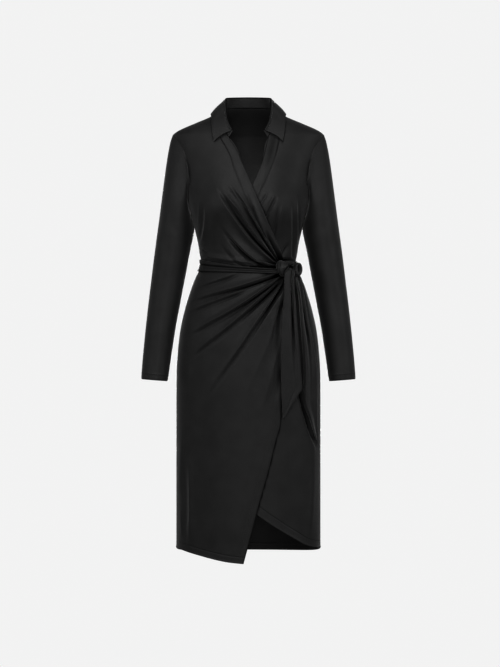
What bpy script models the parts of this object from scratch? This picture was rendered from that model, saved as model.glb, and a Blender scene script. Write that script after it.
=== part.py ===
"""Wrap dress with a shirt collar, long sleeves and a sash tied at the wearer's left side.

Metres, +Z up. The front of the dress faces -Y and the wearer's left is +X. The origin is the middle of
the line between the two shoulder points, where the wearer's shoulders hold the dress up.

Every panel is cut from one smooth figure surface. A place on it is given by w and z: z is the height,
and w is the half width there times the share of a quarter turn from the centre line, so that a panel
looks in (w, z) much as its paper pattern does.
"""
import bpy
import bmesh
import numpy as np

COLLECTION = "wrap_dress"

# Cloth and seams
CLOTH = 0.0015            # wall of one layer of jersey
SEAM_GAP = 0.0003         # between two pieces at a seam
LAYER_GAP = 0.0010        # air between two layers that lie on each other
SASH_CLOTH = 0.0022       # the sash is two layers thick

# The figure that the dress is cut for: half width at the sides, depth to the front and to the back
FIGURE_COLUMNS = ("height", "half_width", "front", "back")
FIGURE = (
    (0.0600, 0.0600, 0.020, 0.049),
    (0.0465, 0.0625, 0.022, 0.053),
    (0.0380, 0.0680, 0.027, 0.057),
    (0.0225, 0.0950, 0.041, 0.066),
    (0.0075, 0.1300, 0.051, 0.074),
    (-0.0075, 0.1650, 0.058, 0.081),
    (-0.0150, 0.1790, 0.061, 0.084),
    (-0.0225, 0.1870, 0.064, 0.087),
    (-0.0600, 0.1770, 0.078, 0.094),
    (-0.1000, 0.1675, 0.092, 0.097),
    (-0.1375, 0.1620, 0.102, 0.096),
    (-0.1775, 0.1550, 0.111, 0.092),
    (-0.2150, 0.1465, 0.114, 0.087),
    (-0.2600, 0.1338, 0.111, 0.081),
    (-0.3000, 0.1248, 0.105, 0.074),
    (-0.3200, 0.1218, 0.102, 0.070),
    (-0.3340, 0.1190, 0.100, 0.068),
    (-0.3430, 0.1180, 0.099, 0.067),
    (-0.3520, 0.1192, 0.099, 0.068),
    (-0.3600, 0.1222, 0.101, 0.070),
    (-0.3700, 0.1274, 0.103, 0.074),
    (-0.3800, 0.1323, 0.105, 0.078),
    (-0.4100, 0.1436, 0.110, 0.087),
    (-0.4600, 0.1590, 0.116, 0.103),
    (-0.5100, 0.1700, 0.120, 0.116),
    (-0.5600, 0.1760, 0.121, 0.123),
    (-0.6200, 0.1795, 0.121, 0.125),
    (-0.7000, 0.1800, 0.120, 0.123),
    (-0.8500, 0.1800, 0.119, 0.119),
    (-1.1200, 0.1800, 0.118, 0.115),
)
ROUNDNESS = 2.3           # exponent of the figure's section: 2 is an ellipse, more is squarer
CUP_REACH = 0.016         # how far a cup stands out
CUP_CENTRE = (0.075, -0.205)
CUP_SPREAD = (0.044, 0.055)

# Shoulder, neck and armhole
SHOULDER_POINT = (0.187, -0.0225)
NECK_POINT = (0.068, 0.038)
BACK_NECK_HEIGHT = 0.0465
NECKLINE_COLUMNS = ("height", "half_width")
FRONT_NECKLINE = ((0.0380, 0.0680), (0.0250, 0.0700), (0.0140, 0.0690), (0.0000, 0.0655),
                  (-0.0100, 0.0610), (-0.0200, 0.0560), (-0.0320, 0.0498))
ARMPIT_HEIGHT = -0.215
ARMHOLE_FRONT = 0.048     # how far the armhole is scooped forward of the side line
ARMHOLE_BACK = 0.052
ARMHOLE_TOP = 1.15        # 1 makes the end of the armhole round; more makes it narrower
ARMHOLE_FOOT = 1.6

# Waist seam: height against the angle round the figure, 0 at the centre front and growing toward +X
WAIST_COLUMNS = ("angle", "height")
WAIST = ((-180, -0.350), (-90, -0.348), (-40, -0.350), (0, -0.3555), (43, -0.360), (90, -0.356),
         (180, -0.350))

# The wrap: the over front ends in a V edge and, below the waist, in a free edge
HUB = (0.080, -0.3585)    # where the over fronts are gathered, x and z
WRAP_EDGE_COLUMNS = ("x", "height")
OVER_NECK_EDGE = ((-0.0498, -0.032), (-0.0275, -0.070), (-0.0125, -0.105), (0.0090, -0.155), (0.0240, -0.189),
                  (0.0415, -0.226), (0.0560, -0.263), (0.0690, -0.300), (0.0780, -0.336), (0.0810, -0.3550))
UNDER_NECK_EDGE = ((0.0505, -0.032), (0.0365, -0.089), (0.0220, -0.127), (0.0090, -0.155),
                   (-0.0200, -0.215), (-0.0500, -0.275), (-0.0720, -0.325))
OVER_SKIRT_EDGE = ((0.0880, -0.365), (0.0880, -0.450), (0.0865, -0.560), (0.0835, -0.640), (0.0805, -0.705),
                   (0.0790, -0.740), (0.0680, -0.783), (0.0490, -0.861), (0.0270, -0.939), (0.0040, -1.027),
                   (-0.0120, -1.087))
OVER_SKIRT_HEM = ((-0.1800, -1.052), (-0.1400, -1.063), (-0.0900, -1.075), (-0.0500, -1.083),
                  (-0.0120, -1.087))
UNDER_EDGE_AT_WAIST = -0.080
UNDER_SKIRT_EDGE = ((-0.0850, -0.480), (-0.0840, -0.640), (-0.0760, -0.780))
UNDER_SKIRT_HEM = ((-0.0760, -0.780), (-0.0620, -0.850), (-0.0300, -0.915), (0.0220, -0.966),
                   (0.0620, -0.994), (0.1110, -1.024), (0.1480, -1.044), (0.1800, -1.052))
BACK_HEM_SIDE = -1.052
BACK_HEM_CENTRE = -1.067
OVER_RISE = 0.0036        # how far the over front's face stands off the under front's face
OVER_RAMP = 0.045         # it rises to that in this width, just outside the under front's free edge
SIDE_RAMP = 0.060         # and it lies flat, without folds, near the side seam
GATHER_RADIUS = 0.012     # the gathered panels stop this far from the knot's middle, under the knot

# Folds that run out from the knot: directions in degrees at the knot and at the far end (180 is toward the
# wearer's right, 90 is up, 270 is down), the length, the height, and the half width in degrees
FOLD_COLUMNS = ("start", "end", "length", "height", "spread")
BODICE_FOLDS = (
    (118, 113, 0.230, 0.0035, 2.6),
    (124, 121, 0.200, 0.0045, 2.6),
    (131, 129, 0.210, 0.0055, 2.8),
    (139, 134, 0.230, 0.0060, 3.0),
    (150, 144, 0.150, 0.0045, 4.0),
    (164, 150, 0.110, 0.0040, 5.0),
)
SKIRT_FOLDS = (
    (192, 190, 0.230, 0.0045, 4.0),
    (204, 197, 0.210, 0.0050, 3.6),
    (215, 207, 0.230, 0.0060, 3.4),
    (226, 219, 0.210, 0.0060, 3.6),
    (240, 232, 0.230, 0.0055, 4.2),
    (255, 249, 0.200, 0.0045, 4.6),
)

# How the panels are stepped
ARMHOLE_STEPS = 10        # steps along half an armhole, the same on every piece that meets there
SIDE_STEPS = 6            # and along the side seam of a bodice panel
SEAM_CLEARANCE = 0.0014   # at its seam the sleeve's face stands this far off the bodice, under the arm
SLEEVE_CLEARANCE = 0.0025 # and below the seam this far
CLEAR_UNTIL = 0.45        # down to this place along the sleeve
SIDE_SHARE = 0.36         # share of a bodice panel's side that is side seam, below the armhole
RAY_EASE = 0.10           # how much finer the steps are at the two ends of a ray
BOW_PEAK = 27 / 4         # makes the bow's greatest value 1
SHOULDER_BOW = 0.030      # bow of the ray that ends at the shoulder point
BEND_REACH = 0.35         # how far round the outline a wrap edge bends the rays beside it

# Sleeve rings: outer and inner points of the ring in the front view, half depth, middle's y
SLEEVE_COLUMNS = ("outer_x", "outer_z", "inner_x", "inner_z", "half_depth", "middle_y")
SLEEVE = (
    (0.1870, -0.0225, 0.1465, -0.2150, 0.0500, 0.0020),
    (0.1925, -0.0375, 0.1470, -0.2185, 0.0510, 0.0020),
    (0.1975, -0.0600, 0.1455, -0.2235, 0.0520, 0.0015),
    (0.2025, -0.0900, 0.1435, -0.2310, 0.0525, 0.0010),
    (0.2080, -0.1300, 0.1410, -0.2400, 0.0525, 0.0000),
    (0.2145, -0.1800, 0.1385, -0.2510, 0.0520, -0.0010),
    (0.2215, -0.2350, 0.1400, -0.2700, 0.0505, -0.0020),
    (0.2285, -0.2860, 0.1460, -0.3080, 0.0485, -0.0030),
    (0.2355, -0.3400, 0.1550, -0.3560, 0.0460, -0.0050),
    (0.2415, -0.3900, 0.1640, -0.4030, 0.0435, -0.0080),
    (0.2475, -0.4400, 0.1730, -0.4510, 0.0415, -0.0120),
    (0.2530, -0.4900, 0.1820, -0.4990, 0.0395, -0.0170),
    (0.2580, -0.5400, 0.1895, -0.5475, 0.0372, -0.0225),
    (0.2625, -0.5900, 0.1965, -0.5960, 0.0345, -0.0280),
    (0.2655, -0.6325, 0.2020, -0.6375, 0.0325, -0.0330),
)

# Collar: from the centre back (0) to the front end (1). Roll line and outer edge; the outer edge lies over
# the figure at the given clearance
COLLAR_COLUMNS = ("place", "roll_x", "roll_y", "roll_z", "edge_x", "edge_y", "edge_z")
COLLAR = (
    (0.00, 0.0000, 0.0500, 0.0740, 0.0000, 0.0830, 0.0270),
    (0.15, 0.0230, 0.0465, 0.0735, 0.0300, 0.0810, 0.0265),
    (0.30, 0.0430, 0.0330, 0.0720, 0.0640, 0.0680, 0.0235),
    (0.45, 0.0540, 0.0110, 0.0690, 0.0900, 0.0320, 0.0225),
    (0.60, 0.0550, -0.0150, 0.0520, 0.0945, -0.0150, 0.0220),
    (0.75, 0.0530, -0.0350, 0.0260, 0.0940, -0.0420, 0.0080),
    (0.88, 0.0475, -0.0520, 0.0040, 0.0895, -0.0560, -0.0160),
    (1.00, 0.0390, -0.0640, -0.0125, 0.0850, -0.0660, -0.0380),
)
COLLAR_ROLL = 0.0024      # radius of the fold, to the middle of the wall
COLLAR_CLEARANCE = 0.0035 # the leaf's lift off the shoulders
COLLAR_SEAM_LIFT = 0.0012 # from the bodice's neck edge to the middle of the collar's wall
NECK_SEAM_BACK = 0.51     # the collar's place at the neck point

FACING_WIDTH = 0.020
FACING_LIP = ((-0.034, 0.0030), (-0.050, 0.0050), (-0.070, 0.0035), (-0.095, 0.0008), (-0.120, -0.0004))
LIP_COLUMNS = ("height", "reach")

# Sash: middle height and half height against the angle round the figure
SASH_COLUMNS = ("angle", "height", "half_height")
SASH = (
    (-317, -0.3600, 0.0060),
    (-290, -0.3560, 0.0100),
    (-270, -0.3520, 0.0125),
    (-180, -0.3490, 0.0140),
    (-90, -0.3480, 0.0138),
    (-40, -0.3520, 0.0110),
    (0, -0.3575, 0.0080),
    (22, -0.3600, 0.0060),
    (38, -0.3600, 0.0050),
)
SASH_CLEARANCE = 0.0012

# Knot, loop and tails
KNOT_MIDDLE = (0.0850, -0.1120, -0.3560)
KNOT_SIZE = (0.0180, 0.0130, 0.0180)      # half width, half depth, half height
KNOT_TURN = 30                            # degrees: the knot faces a little toward the wearer's left
LOOP_MIDDLE = (0.1180, -0.0930, -0.3565)
LOOP_RADII = (0.0135, 0.0150)
LOOP_WIDTH = 0.012
KNOT_GROOVE = 0.18
TAIL_COLUMNS = ("height", "left", "right", "lift")
FRONT_TAIL = (
    (-0.3745, 0.0885, 0.1015, 0.0262),
    (-0.3900, 0.0880, 0.1100, 0.0235),
    (-0.4300, 0.0860, 0.1145, 0.0175),
    (-0.4900, 0.0820, 0.1200, 0.0125),
    (-0.5600, 0.0797, 0.1262, 0.0095),
    (-0.6200, 0.0797, 0.1300, 0.0080),
    (-0.6560, 0.0805, 0.1324, 0.0075),
    (-0.6900, 0.0822, 0.1080, 0.0072),
    (-0.7270, 0.0850, 0.0875, 0.0070),
)
SIDE_TAIL = (
    (-0.3725, 0.1150, 0.1230, 0.0190),
    (-0.3950, 0.1178, 0.1250, 0.0155),
    (-0.4360, 0.1231, 0.1350, 0.0110),
    (-0.4980, 0.1280, 0.1503, 0.0080),
    (-0.5600, 0.1330, 0.1627, 0.0065),
    (-0.6200, 0.1355, 0.1690, 0.0060),
    (-0.6830, 0.1342, 0.1700, 0.0058),
    (-0.7330, 0.1510, 0.1702, 0.0056),
    (-0.7820, 0.1672, 0.1702, 0.0055),
)
TAIL_FOLD = 0.13          # depth of the lengthwise fold in a tail, as a share of its width

# Finishes: base colour, roughness, sheen weight
JERSEY = ((0.0075, 0.0075, 0.0080), 0.62, 0.25)
SASH_JERSEY = ((0.0080, 0.0080, 0.0086), 0.60, 0.25)


def column(rows, names, name):
    """One named column of a table, as an array."""
    return np.array([row[names.index(name)] for row in rows], dtype=float)


def curve(at, knots, values):
    """A smooth curve through a table's points that never overshoots them (monotone cubic)."""
    order = np.argsort(knots)
    knots = np.asarray(knots, dtype=float)[order]
    values = np.asarray(values, dtype=float)[order]
    step = np.diff(knots)
    rise = np.diff(values) / step
    slope = np.empty(len(knots))
    slope[0] = rise[0]
    slope[-1] = rise[-1]
    before, after = rise[:-1], rise[1:]
    same_way = before * after > 0
    slope[1:-1] = np.where(same_way, 2 * before * after / np.where(same_way, before + after, 1), 0)
    at = np.clip(np.asarray(at, dtype=float), knots[0], knots[-1])
    k = np.clip(np.searchsorted(knots, at) - 1, 0, len(step) - 1)
    t = (at - knots[k]) / step[k]
    keep = 2 * t**3 - 3 * t**2 + 1
    start = keep * values[k] + (t**3 - 2 * t**2 + t) * step[k] * slope[k]
    stop = (1 - keep) * values[k + 1] + (t**3 - t**2) * step[k] * slope[k + 1]
    return start + stop


def table_curve(at, rows, names, knot, value):
    return curve(at, column(rows, names, knot), column(rows, names, value))


def ease(t):
    """0 below 0, 1 above 1, and smooth between."""
    t = np.clip(t, 0.0, 1.0)
    return t * t * (3 - 2 * t)


# ---------------------------------------------------------------- the figure

def half_width(z):
    return table_curve(z, FIGURE, FIGURE_COLUMNS, "height", "half_width")


def depth(z, side):
    return table_curve(z, FIGURE, FIGURE_COLUMNS, "height", side)


def angle_of(share):
    """Angle from the centre line of the point whose x is this share of the half width."""
    share = np.clip(share, -1.0, 1.0)
    inward = (1 - np.abs(share) ** ROUNDNESS) ** (1 / ROUNDNESS)
    return np.arctan2(share, inward)


def figure(angle, z):
    """Point of the figure: angle in radians, 0 at the centre front and growing toward +X."""
    across, along = np.sin(angle), np.cos(angle)
    size = (np.abs(across) ** ROUNDNESS + np.abs(along) ** ROUNDNESS) ** (-1 / ROUNDNESS)
    x = half_width(z) * size * across
    y = -np.where(along >= 0, depth(z, "front"), depth(z, "back")) * size * along
    off_x = (np.abs(x) - CUP_CENTRE[0]) / CUP_SPREAD[0]
    off_z = (z - CUP_CENTRE[1]) / CUP_SPREAD[1]
    y = y - CUP_REACH * np.exp(-off_x**2 - off_z**2) * ease(along / 0.6)
    return np.stack([x, y, z + 0 * x], axis=-1)


def normal(angle, z):
    """Outward direction of the figure there, from its slopes round and up."""
    da, dz = 0.004, 0.0006
    round_it = figure(angle + da, z) - figure(angle - da, z)
    up_it = figure(angle, z + dz) - figure(angle, z - dz)
    out = np.cross(round_it, up_it)
    return out / np.linalg.norm(out, axis=-1, keepdims=True)


def to_angle(w, z, back=False):
    """The chart (w, z) to an angle round the figure. On the back, w grows toward +X too."""
    turn = 0.5 * np.pi * w / half_width(z)
    return np.pi - turn if back else turn


def to_w(x, z):
    """The chart's w for a point at x on the front or the back."""
    return half_width(z) * angle_of(x / half_width(z)) / (0.5 * np.pi)


def waist_height(angle):
    """Height of the waist seam at an angle in radians."""
    degrees = (np.degrees(angle) + 180) % 360 - 180
    return table_curve(degrees, WAIST, WAIST_COLUMNS, "angle", "height")


def lift_from(points):
    """Distance of points off the figure, with the figure's point and outward direction there."""
    z = np.clip(points[..., 2], FIGURE[-1][0], BACK_NECK_HEIGHT)
    share = points[..., 0] / half_width(z)
    side = np.where(points[..., 1] <= 0, depth(z, "front"), depth(z, "back"))
    angle = np.arctan2(share, -points[..., 1] / side)
    place, out = figure(angle, z), normal(angle, z)
    return np.sum((points - place) * out, axis=-1), out


def push_out(points, clearance):
    """Move points along the figure's outward direction until they are this far off it."""
    for _ in range(3):
        lift, out = lift_from(points)
        short = np.maximum(clearance - lift, 0.0)
        points = points + short[..., None] * out
    return points


# ---------------------------------------------------------------- folds

def fold_height(x, z, folds):
    """Sum of the ridges that run out from the knot, at points (x, z) of the front view.

    Each ridge follows a direction that bends from its start to its end. It rises in the first fifth of its
    length and dies away toward its end, and its width grows with the distance from the knot.
    """
    dx, dz = x - HUB[0], z - HUB[1]
    reach = np.hypot(dx, dz)
    direction = np.degrees(np.arctan2(dz, dx)) % 360
    total = 0 * x
    rows = zip(*(column(folds, FOLD_COLUMNS, name) for name in FOLD_COLUMNS))
    for start, end, length, height, spread in rows:
        part = reach / length
        crest = start + (end - start) * np.clip(part, 0, 1)
        fade = ease(part / 0.2) * (1 - ease((part - 0.45) / 0.55))
        total = total + height * fade * np.exp(-(((direction - crest) / spread) ** 2))
    return total


def over_lift(w, x, z, folds):
    """How far the over front stands off the figure: a step over the under front, with its folds on top."""
    under_edge = UNDER_NECK_EDGE + UNDER_SKIRT_EDGE
    edge_x = table_curve(z, under_edge, WRAP_EDGE_COLUMNS, "height", "x")
    step = OVER_RISE * ease((x - edge_x + OVER_RAMP) / OVER_RAMP)
    return (step + fold_height(x, z, folds)) * ease((w + half_width(z)) / SIDE_RAMP)


# ---------------------------------------------------------------- mesh making

def wall(name, outer, inner, closed=False):
    """One closed solid between two grids of points. closed joins the last column to the first."""
    rows, columns = outer.shape[:2]
    mesh = bpy.data.meshes.new(name)
    index = np.arange(rows * columns).reshape(rows, columns)
    if closed:
        index = np.concatenate([index, index[:, :1]], axis=1)
    a, b, c, d = index[:-1, :-1], index[:-1, 1:], index[1:, 1:], index[1:, :-1]
    skin = np.stack([a, b, c, d], axis=-1).reshape(-1, 4)
    lining = skin[:, ::-1] + rows * columns
    edges = [(index[0, 1:], index[0, :-1]), (index[-1, :-1], index[-1, 1:])]
    if not closed:
        edges.append((index[:-1, 0], index[1:, 0]))
        edges.append((index[1:, -1], index[:-1, -1]))
    rims = [np.stack([p, q, q + rows * columns, p + rows * columns], axis=-1) for p, q in edges]
    faces = np.concatenate([skin, lining] + rims)
    points = np.concatenate([outer.reshape(-1, 3), inner.reshape(-1, 3)])
    mesh.from_pydata(points.tolist(), [], faces.tolist())
    return finished(name, mesh)


def finished(name, mesh):
    """An object in the dress's collection, with its faces pointing out."""
    shape = bmesh.new()
    shape.from_mesh(mesh)
    bmesh.ops.recalc_face_normals(shape, faces=shape.faces)
    shape.to_mesh(mesh)
    shape.free()
    mesh.shade_smooth()
    thing = bpy.data.objects.new(name, mesh)
    bpy.data.collections[COLLECTION].objects.link(thing)
    return thing


def grid_normals(points, closed=False):
    """Unit normals of a grid of points, rows downward and columns round."""
    down = np.gradient(points, axis=0)
    if closed:
        round_it = (np.roll(points, -1, axis=1) - np.roll(points, 1, axis=1)) / 2
    else:
        round_it = np.gradient(points, axis=1)
    out = np.cross(round_it, down)
    return out / np.linalg.norm(out, axis=-1, keepdims=True)


def patch(bottom, top, left, right):
    """Points inside four edges (Coons): the edges are functions of 0..1 that meet at the corners."""
    def at(u, v):
        u, v = u[None, :, None], v[:, None, None]
        low, high = bottom(u[0, :, 0])[None], top(u[0, :, 0])[None]
        start, stop = left(v[:, 0, 0])[:, None], right(v[:, 0, 0])[:, None]
        corners = ((1 - u) * (1 - v) * low[:, :1] + u * (1 - v) * low[:, -1:]
                   + (1 - u) * v * high[:, :1] + u * v * high[:, -1:])
        return (1 - v) * low + v * high + (1 - u) * start + u * stop - corners
    return at


def chain(*parts):
    """Join edges end to end: parts are (share of 0..1, points) and each stretch keeps its share."""
    shares = np.cumsum([0.0] + [share for share, _ in parts])
    shares = shares / shares[-1]

    def at(t):
        out = np.zeros((len(t), 2))
        for k, (_, points) in enumerate(parts):
            inside = (t >= shares[k] - 1e-12) & (t <= shares[k + 1] + 1e-12)
            local = np.clip((t[inside] - shares[k]) / (shares[k + 1] - shares[k]), 0, 1)
            out[inside] = points(local)
        return out
    return at


def stations(*runs):
    """Places from 0 to 1 in runs: each run is (its end, its number of steps)."""
    marks = [0.0]
    for end, count in runs:
        marks.extend(np.linspace(marks[-1], end, count + 1)[1:])
    return np.array(marks)


# ---------------------------------------------------------------- pattern edges in the chart (w, z)

def side_seam(t, low, sign):
    """Up the side seam from height low to the armpit, in finer steps near the waist."""
    z = low + (ARMPIT_HEIGHT - low) * t**1.35
    return np.stack([sign * seam_width(z), z], axis=-1)


def seam_width(z):
    """The half width in the chart, less half a seam gap."""
    around = 0.5 * np.pi * depth(z, "front")
    return half_width(z) * (1 - 0.5 * SEAM_GAP / around)


def armhole(t, sign, back=False):
    """Up the armhole from the armpit to the shoulder point."""
    turn = np.pi * (1 - t)
    middle = 0.5 * (SHOULDER_POINT[1] + ARMPIT_HEIGHT)
    z = middle + 0.5 * (SHOULDER_POINT[1] - ARMPIT_HEIGHT) * np.cos(turn)
    narrow = ARMHOLE_TOP + (ARMHOLE_FOOT - ARMHOLE_TOP) * (1 - t)
    scoop = (ARMHOLE_BACK if back else ARMHOLE_FRONT) * np.sin(turn) ** narrow
    y = scoop / depth(z, "back" if back else "front")
    share = (1 - y ** ROUNDNESS) ** (1 / ROUNDNESS)
    w = half_width(z) * np.arctan2(share, y) / (0.5 * np.pi)
    return np.stack([sign * np.minimum(w, seam_width(z)), z], axis=-1)


def shoulder(t, sign):
    """Along the shoulder seam from the shoulder point to the neck point."""
    z = SHOULDER_POINT[1] + (NECK_POINT[1] - SHOULDER_POINT[1]) * t
    return np.stack([sign * seam_width(z), z], axis=-1)


def front_neckline(t, sign):
    """Down the front neckline from the neck point to the top of the V edge."""
    z = NECK_POINT[1] + (FRONT_NECKLINE[-1][0] - NECK_POINT[1]) * t
    x = table_curve(z, FRONT_NECKLINE, NECKLINE_COLUMNS, "height", "half_width")
    return np.stack([sign * np.minimum(to_w(x, z), seam_width(z)), z], axis=-1)


def back_neckline(t):
    """Across the back neckline from -X to +X."""
    across = 2 * t - 1
    z = NECK_POINT[1] + (BACK_NECK_HEIGHT - NECK_POINT[1]) * (1 - across**2)
    return np.stack([across * seam_width(z), z], axis=-1)


def wrap_edge(rows, start=None, stop=None):
    """A wrap edge as points of the chart, evenly by length, with a first or last point added."""
    rows = ((start,) if start else ()) + tuple(rows) + ((stop,) if stop else ())
    x = column(rows, WRAP_EDGE_COLUMNS, "x")
    z = column(rows, WRAP_EDGE_COLUMNS, "height")
    run = np.concatenate([[0], np.cumsum(np.hypot(np.diff(x), np.diff(z)))])
    run = run / run[-1]

    def at(t):
        height = curve(t, run, z)
        return np.stack([to_w(curve(t, run, x), height), height], axis=-1)
    return at


def waist(t, w_from, w_to, back=False, shift=0.0):
    """Along the waist seam between two places of the chart, shifted up or down by shift."""
    w = w_from + (w_to - w_from) * t
    z = waist_height(to_angle(w, -0.35 + 0 * w, back)) + shift
    return np.stack([w, z], axis=-1)


# ---------------------------------------------------------------- panels

def front_points(chart, lift):
    """World points of a front panel's face and back for chart points, standing lift off the figure."""
    w, z = chart[..., 0], chart[..., 1]
    angle = to_angle(w, z)
    out = normal(angle, z)
    face = figure(angle, z) + lift[..., None] * out
    return face, face - CLOTH * out


def back_points(chart):
    w, z = chart[..., 0], chart[..., 1]
    angle = to_angle(w, z, back=True)
    out = normal(angle, z)
    face = figure(angle, z)
    return face, face - CLOTH * out


def front_x(chart):
    """x of the front's chart points."""
    return figure(to_angle(chart[..., 0], chart[..., 1]), chart[..., 1])[..., 0]


def over_panel(name, outline, first_edge, last_edge, folds, places, count, bow):
    """A gathered over panel: in the front view, straight rays run from the hub to the outline.

    The first and last rays follow their own edges, and the rays beside them bend alike. bow is how far
    each ray bows toward +X two thirds of the way out. The steps along a ray are finer near the hub and
    near the outline, where the panel turns away round the side.
    """
    ends = flat_view(outline(places))
    hub = np.array(HUB)
    start = GATHER_RADIUS / np.linalg.norm(ends - hub, axis=-1)
    step = np.linspace(0, 1, count)
    step = step - RAY_EASE * np.sin(2 * np.pi * step)
    along = start[None, :] + (1 - start[None, :]) * step[:, None]
    straight = hub + along[..., None] * (ends - hub)
    straight[..., 0] += bow * BOW_PEAK * along**2 * (1 - along)
    last_bend = flat_view(last_edge(along[:, -1])) - straight[:, -1]
    first_bend = flat_view(first_edge(along[:, 0])) - straight[:, 0]
    share_last = ease((places - BEND_REACH) / (1 - BEND_REACH))[None, :, None]
    share_first = (1 - ease(places / BEND_REACH))[None, :, None]
    view = straight + share_last * last_bend[:, None, :] + share_first * first_bend[:, None, :]
    x, z = view[..., 0], view[..., 1]
    w = to_w(x, z)
    face, back = front_points(np.stack([w, z], axis=-1), over_lift(w, x, z, folds))
    return wall(name, face, back)


def flat_view(chart):
    """Chart points as (x, z) of the front view."""
    return np.stack([front_x(chart), chart[..., 1]], axis=-1)


def right_front_bodice():
    low = waist_height(-0.5 * np.pi) + 0.5 * SEAM_GAP
    outline = chain((0.30, lambda t: side_seam(t, low, -1)), (0.45, lambda t: armhole(t, -1)),
                    (0.25, lambda t: shoulder(t, -1)))
    neck_edge = chain((0.82, wrap_edge(OVER_NECK_EDGE[::-1], start=HUB)),
                      (0.18, lambda t: front_neckline(1 - t, -1)))

    def along_waist(t):
        return waist(t, to_w(*HUB), -seam_width(low), shift=0.5 * SEAM_GAP)
    places = stations((0.30, 11), (0.75, ARMHOLE_STEPS), (1.0, 7))
    bow = SHOULDER_BOW * np.interp(places, (0.38, 0.75, 1.0), (0, 1, 0))
    return over_panel("right_front_bodice", outline, along_waist, neck_edge, BODICE_FOLDS, places, 17, bow)


def right_front_skirt():
    low = waist_height(-0.5 * np.pi) - 0.5 * SEAM_GAP
    hem = wrap_edge(OVER_SKIRT_HEM)
    hem_side = OVER_SKIRT_HEM[0][1]

    def side(t):
        z = low + (hem_side - low) * t**1.7
        return np.stack([-seam_width(z), z], axis=-1)

    def hem_edge(t):
        points = hem(t)
        points[:, 0] = np.maximum(points[:, 0], -seam_width(points[:, 1]))
        return points
    outline = chain((0.65, side), (0.35, hem_edge))

    def along_waist(t):
        return waist(t, to_w(*HUB), -seam_width(low), shift=-0.5 * SEAM_GAP)
    places = stations((0.65, 23), (1.0, 11))
    free_edge = wrap_edge(OVER_SKIRT_EDGE, start=HUB)
    straight = np.zeros(len(places))
    return over_panel("right_front_skirt", outline, along_waist, free_edge, SKIRT_FOLDS, places, 20, straight)


def under_edge_start(shift):
    """Where the under front's free edge meets the waist seam."""
    z = HUB[1]
    for _ in range(4):
        z = waist_height(angle_of(UNDER_EDGE_AT_WAIST / half_width(z))) + shift
    return UNDER_EDGE_AT_WAIST, float(z)


def left_front_bodice():
    start = under_edge_start(0.5 * SEAM_GAP)
    edge = wrap_edge(UNDER_NECK_EDGE[::-1], start=start)
    low_w = edge(np.array([0.0]))[0, 0]
    low = waist_height(0.5 * np.pi) + 0.5 * SEAM_GAP

    def bottom(t):
        return waist(t, low_w, seam_width(low), shift=0.5 * SEAM_GAP)

    def top(t):
        return shoulder(1 - t, 1)
    side = chain((SIDE_SHARE, lambda t: side_seam(t, low, 1)), (1 - SIDE_SHARE, lambda t: armhole(t, 1)))
    neck_share = SIDE_SHARE + (1 - SIDE_SHARE) * 0.7
    inner = chain((neck_share, edge), (1 - neck_share, lambda t: front_neckline(1 - t, 1)))
    up = stations((SIDE_SHARE, SIDE_STEPS), (1.0, ARMHOLE_STEPS))
    return front_panel("left_front_bodice", patch(bottom, top, inner, side)(stations((1.0, 13)), up))


def left_front_skirt():
    low = waist_height(0.5 * np.pi) - 0.5 * SEAM_GAP
    edge = wrap_edge(UNDER_SKIRT_EDGE, start=under_edge_start(-0.5 * SEAM_GAP))
    hem = wrap_edge(UNDER_SKIRT_HEM)
    low_w = edge(np.array([0.0]))[0, 0]
    hem_side = UNDER_SKIRT_HEM[-1][1]

    def waistline(t):
        return waist(t, low_w, seam_width(low), shift=-0.5 * SEAM_GAP)

    def side(t):
        z = low + (hem_side - low) * t
        return np.stack([seam_width(z), z], axis=-1)

    def hem_edge(t):
        points = hem(t)
        points[:, 0] = np.minimum(points[:, 0], seam_width(points[:, 1]))
        return points
    chart = patch(waistline, hem_edge, edge, side)(stations((1.0, 14)), stations((1.0, 16)) ** 1.3)
    return front_panel("left_front_skirt", chart)


def front_panel(name, chart):
    face, back = front_points(chart, np.zeros(chart.shape[:2]))
    return wall(name, face, back)


def back_bodice():
    low = waist_height(0.5 * np.pi) + 0.5 * SEAM_GAP
    low_right = waist_height(-0.5 * np.pi) + 0.5 * SEAM_GAP

    def bottom(t):
        return waist(t, -seam_width(low_right), seam_width(low), True, 0.5 * SEAM_GAP)
    arm_share = 1 - SIDE_SHARE
    left = chain((SIDE_SHARE, lambda t: side_seam(t, low_right, -1)),
                 (arm_share, lambda t: armhole(t, -1, True)))
    right = chain((SIDE_SHARE, lambda t: side_seam(t, low, 1)),
                  (arm_share, lambda t: armhole(t, 1, True)))
    top = chain((0.3, lambda t: shoulder(t, -1)), (0.4, back_neckline), (0.3, lambda t: shoulder(1 - t, 1)))
    across = stations((0.3, 5), (0.7, 8), (1.0, 5))
    up = stations((SIDE_SHARE, SIDE_STEPS), (1.0, ARMHOLE_STEPS))
    face, back = back_points(patch(bottom, top, left, right)(across, up))
    return wall("back_bodice", face, back)


def back_hem(w, z):
    """Height of the back hem: level at the sides and dipping a little at the back."""
    share = w / half_width(z)
    return BACK_HEM_SIDE + (BACK_HEM_CENTRE - BACK_HEM_SIDE) * (1 - share**4)


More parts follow.
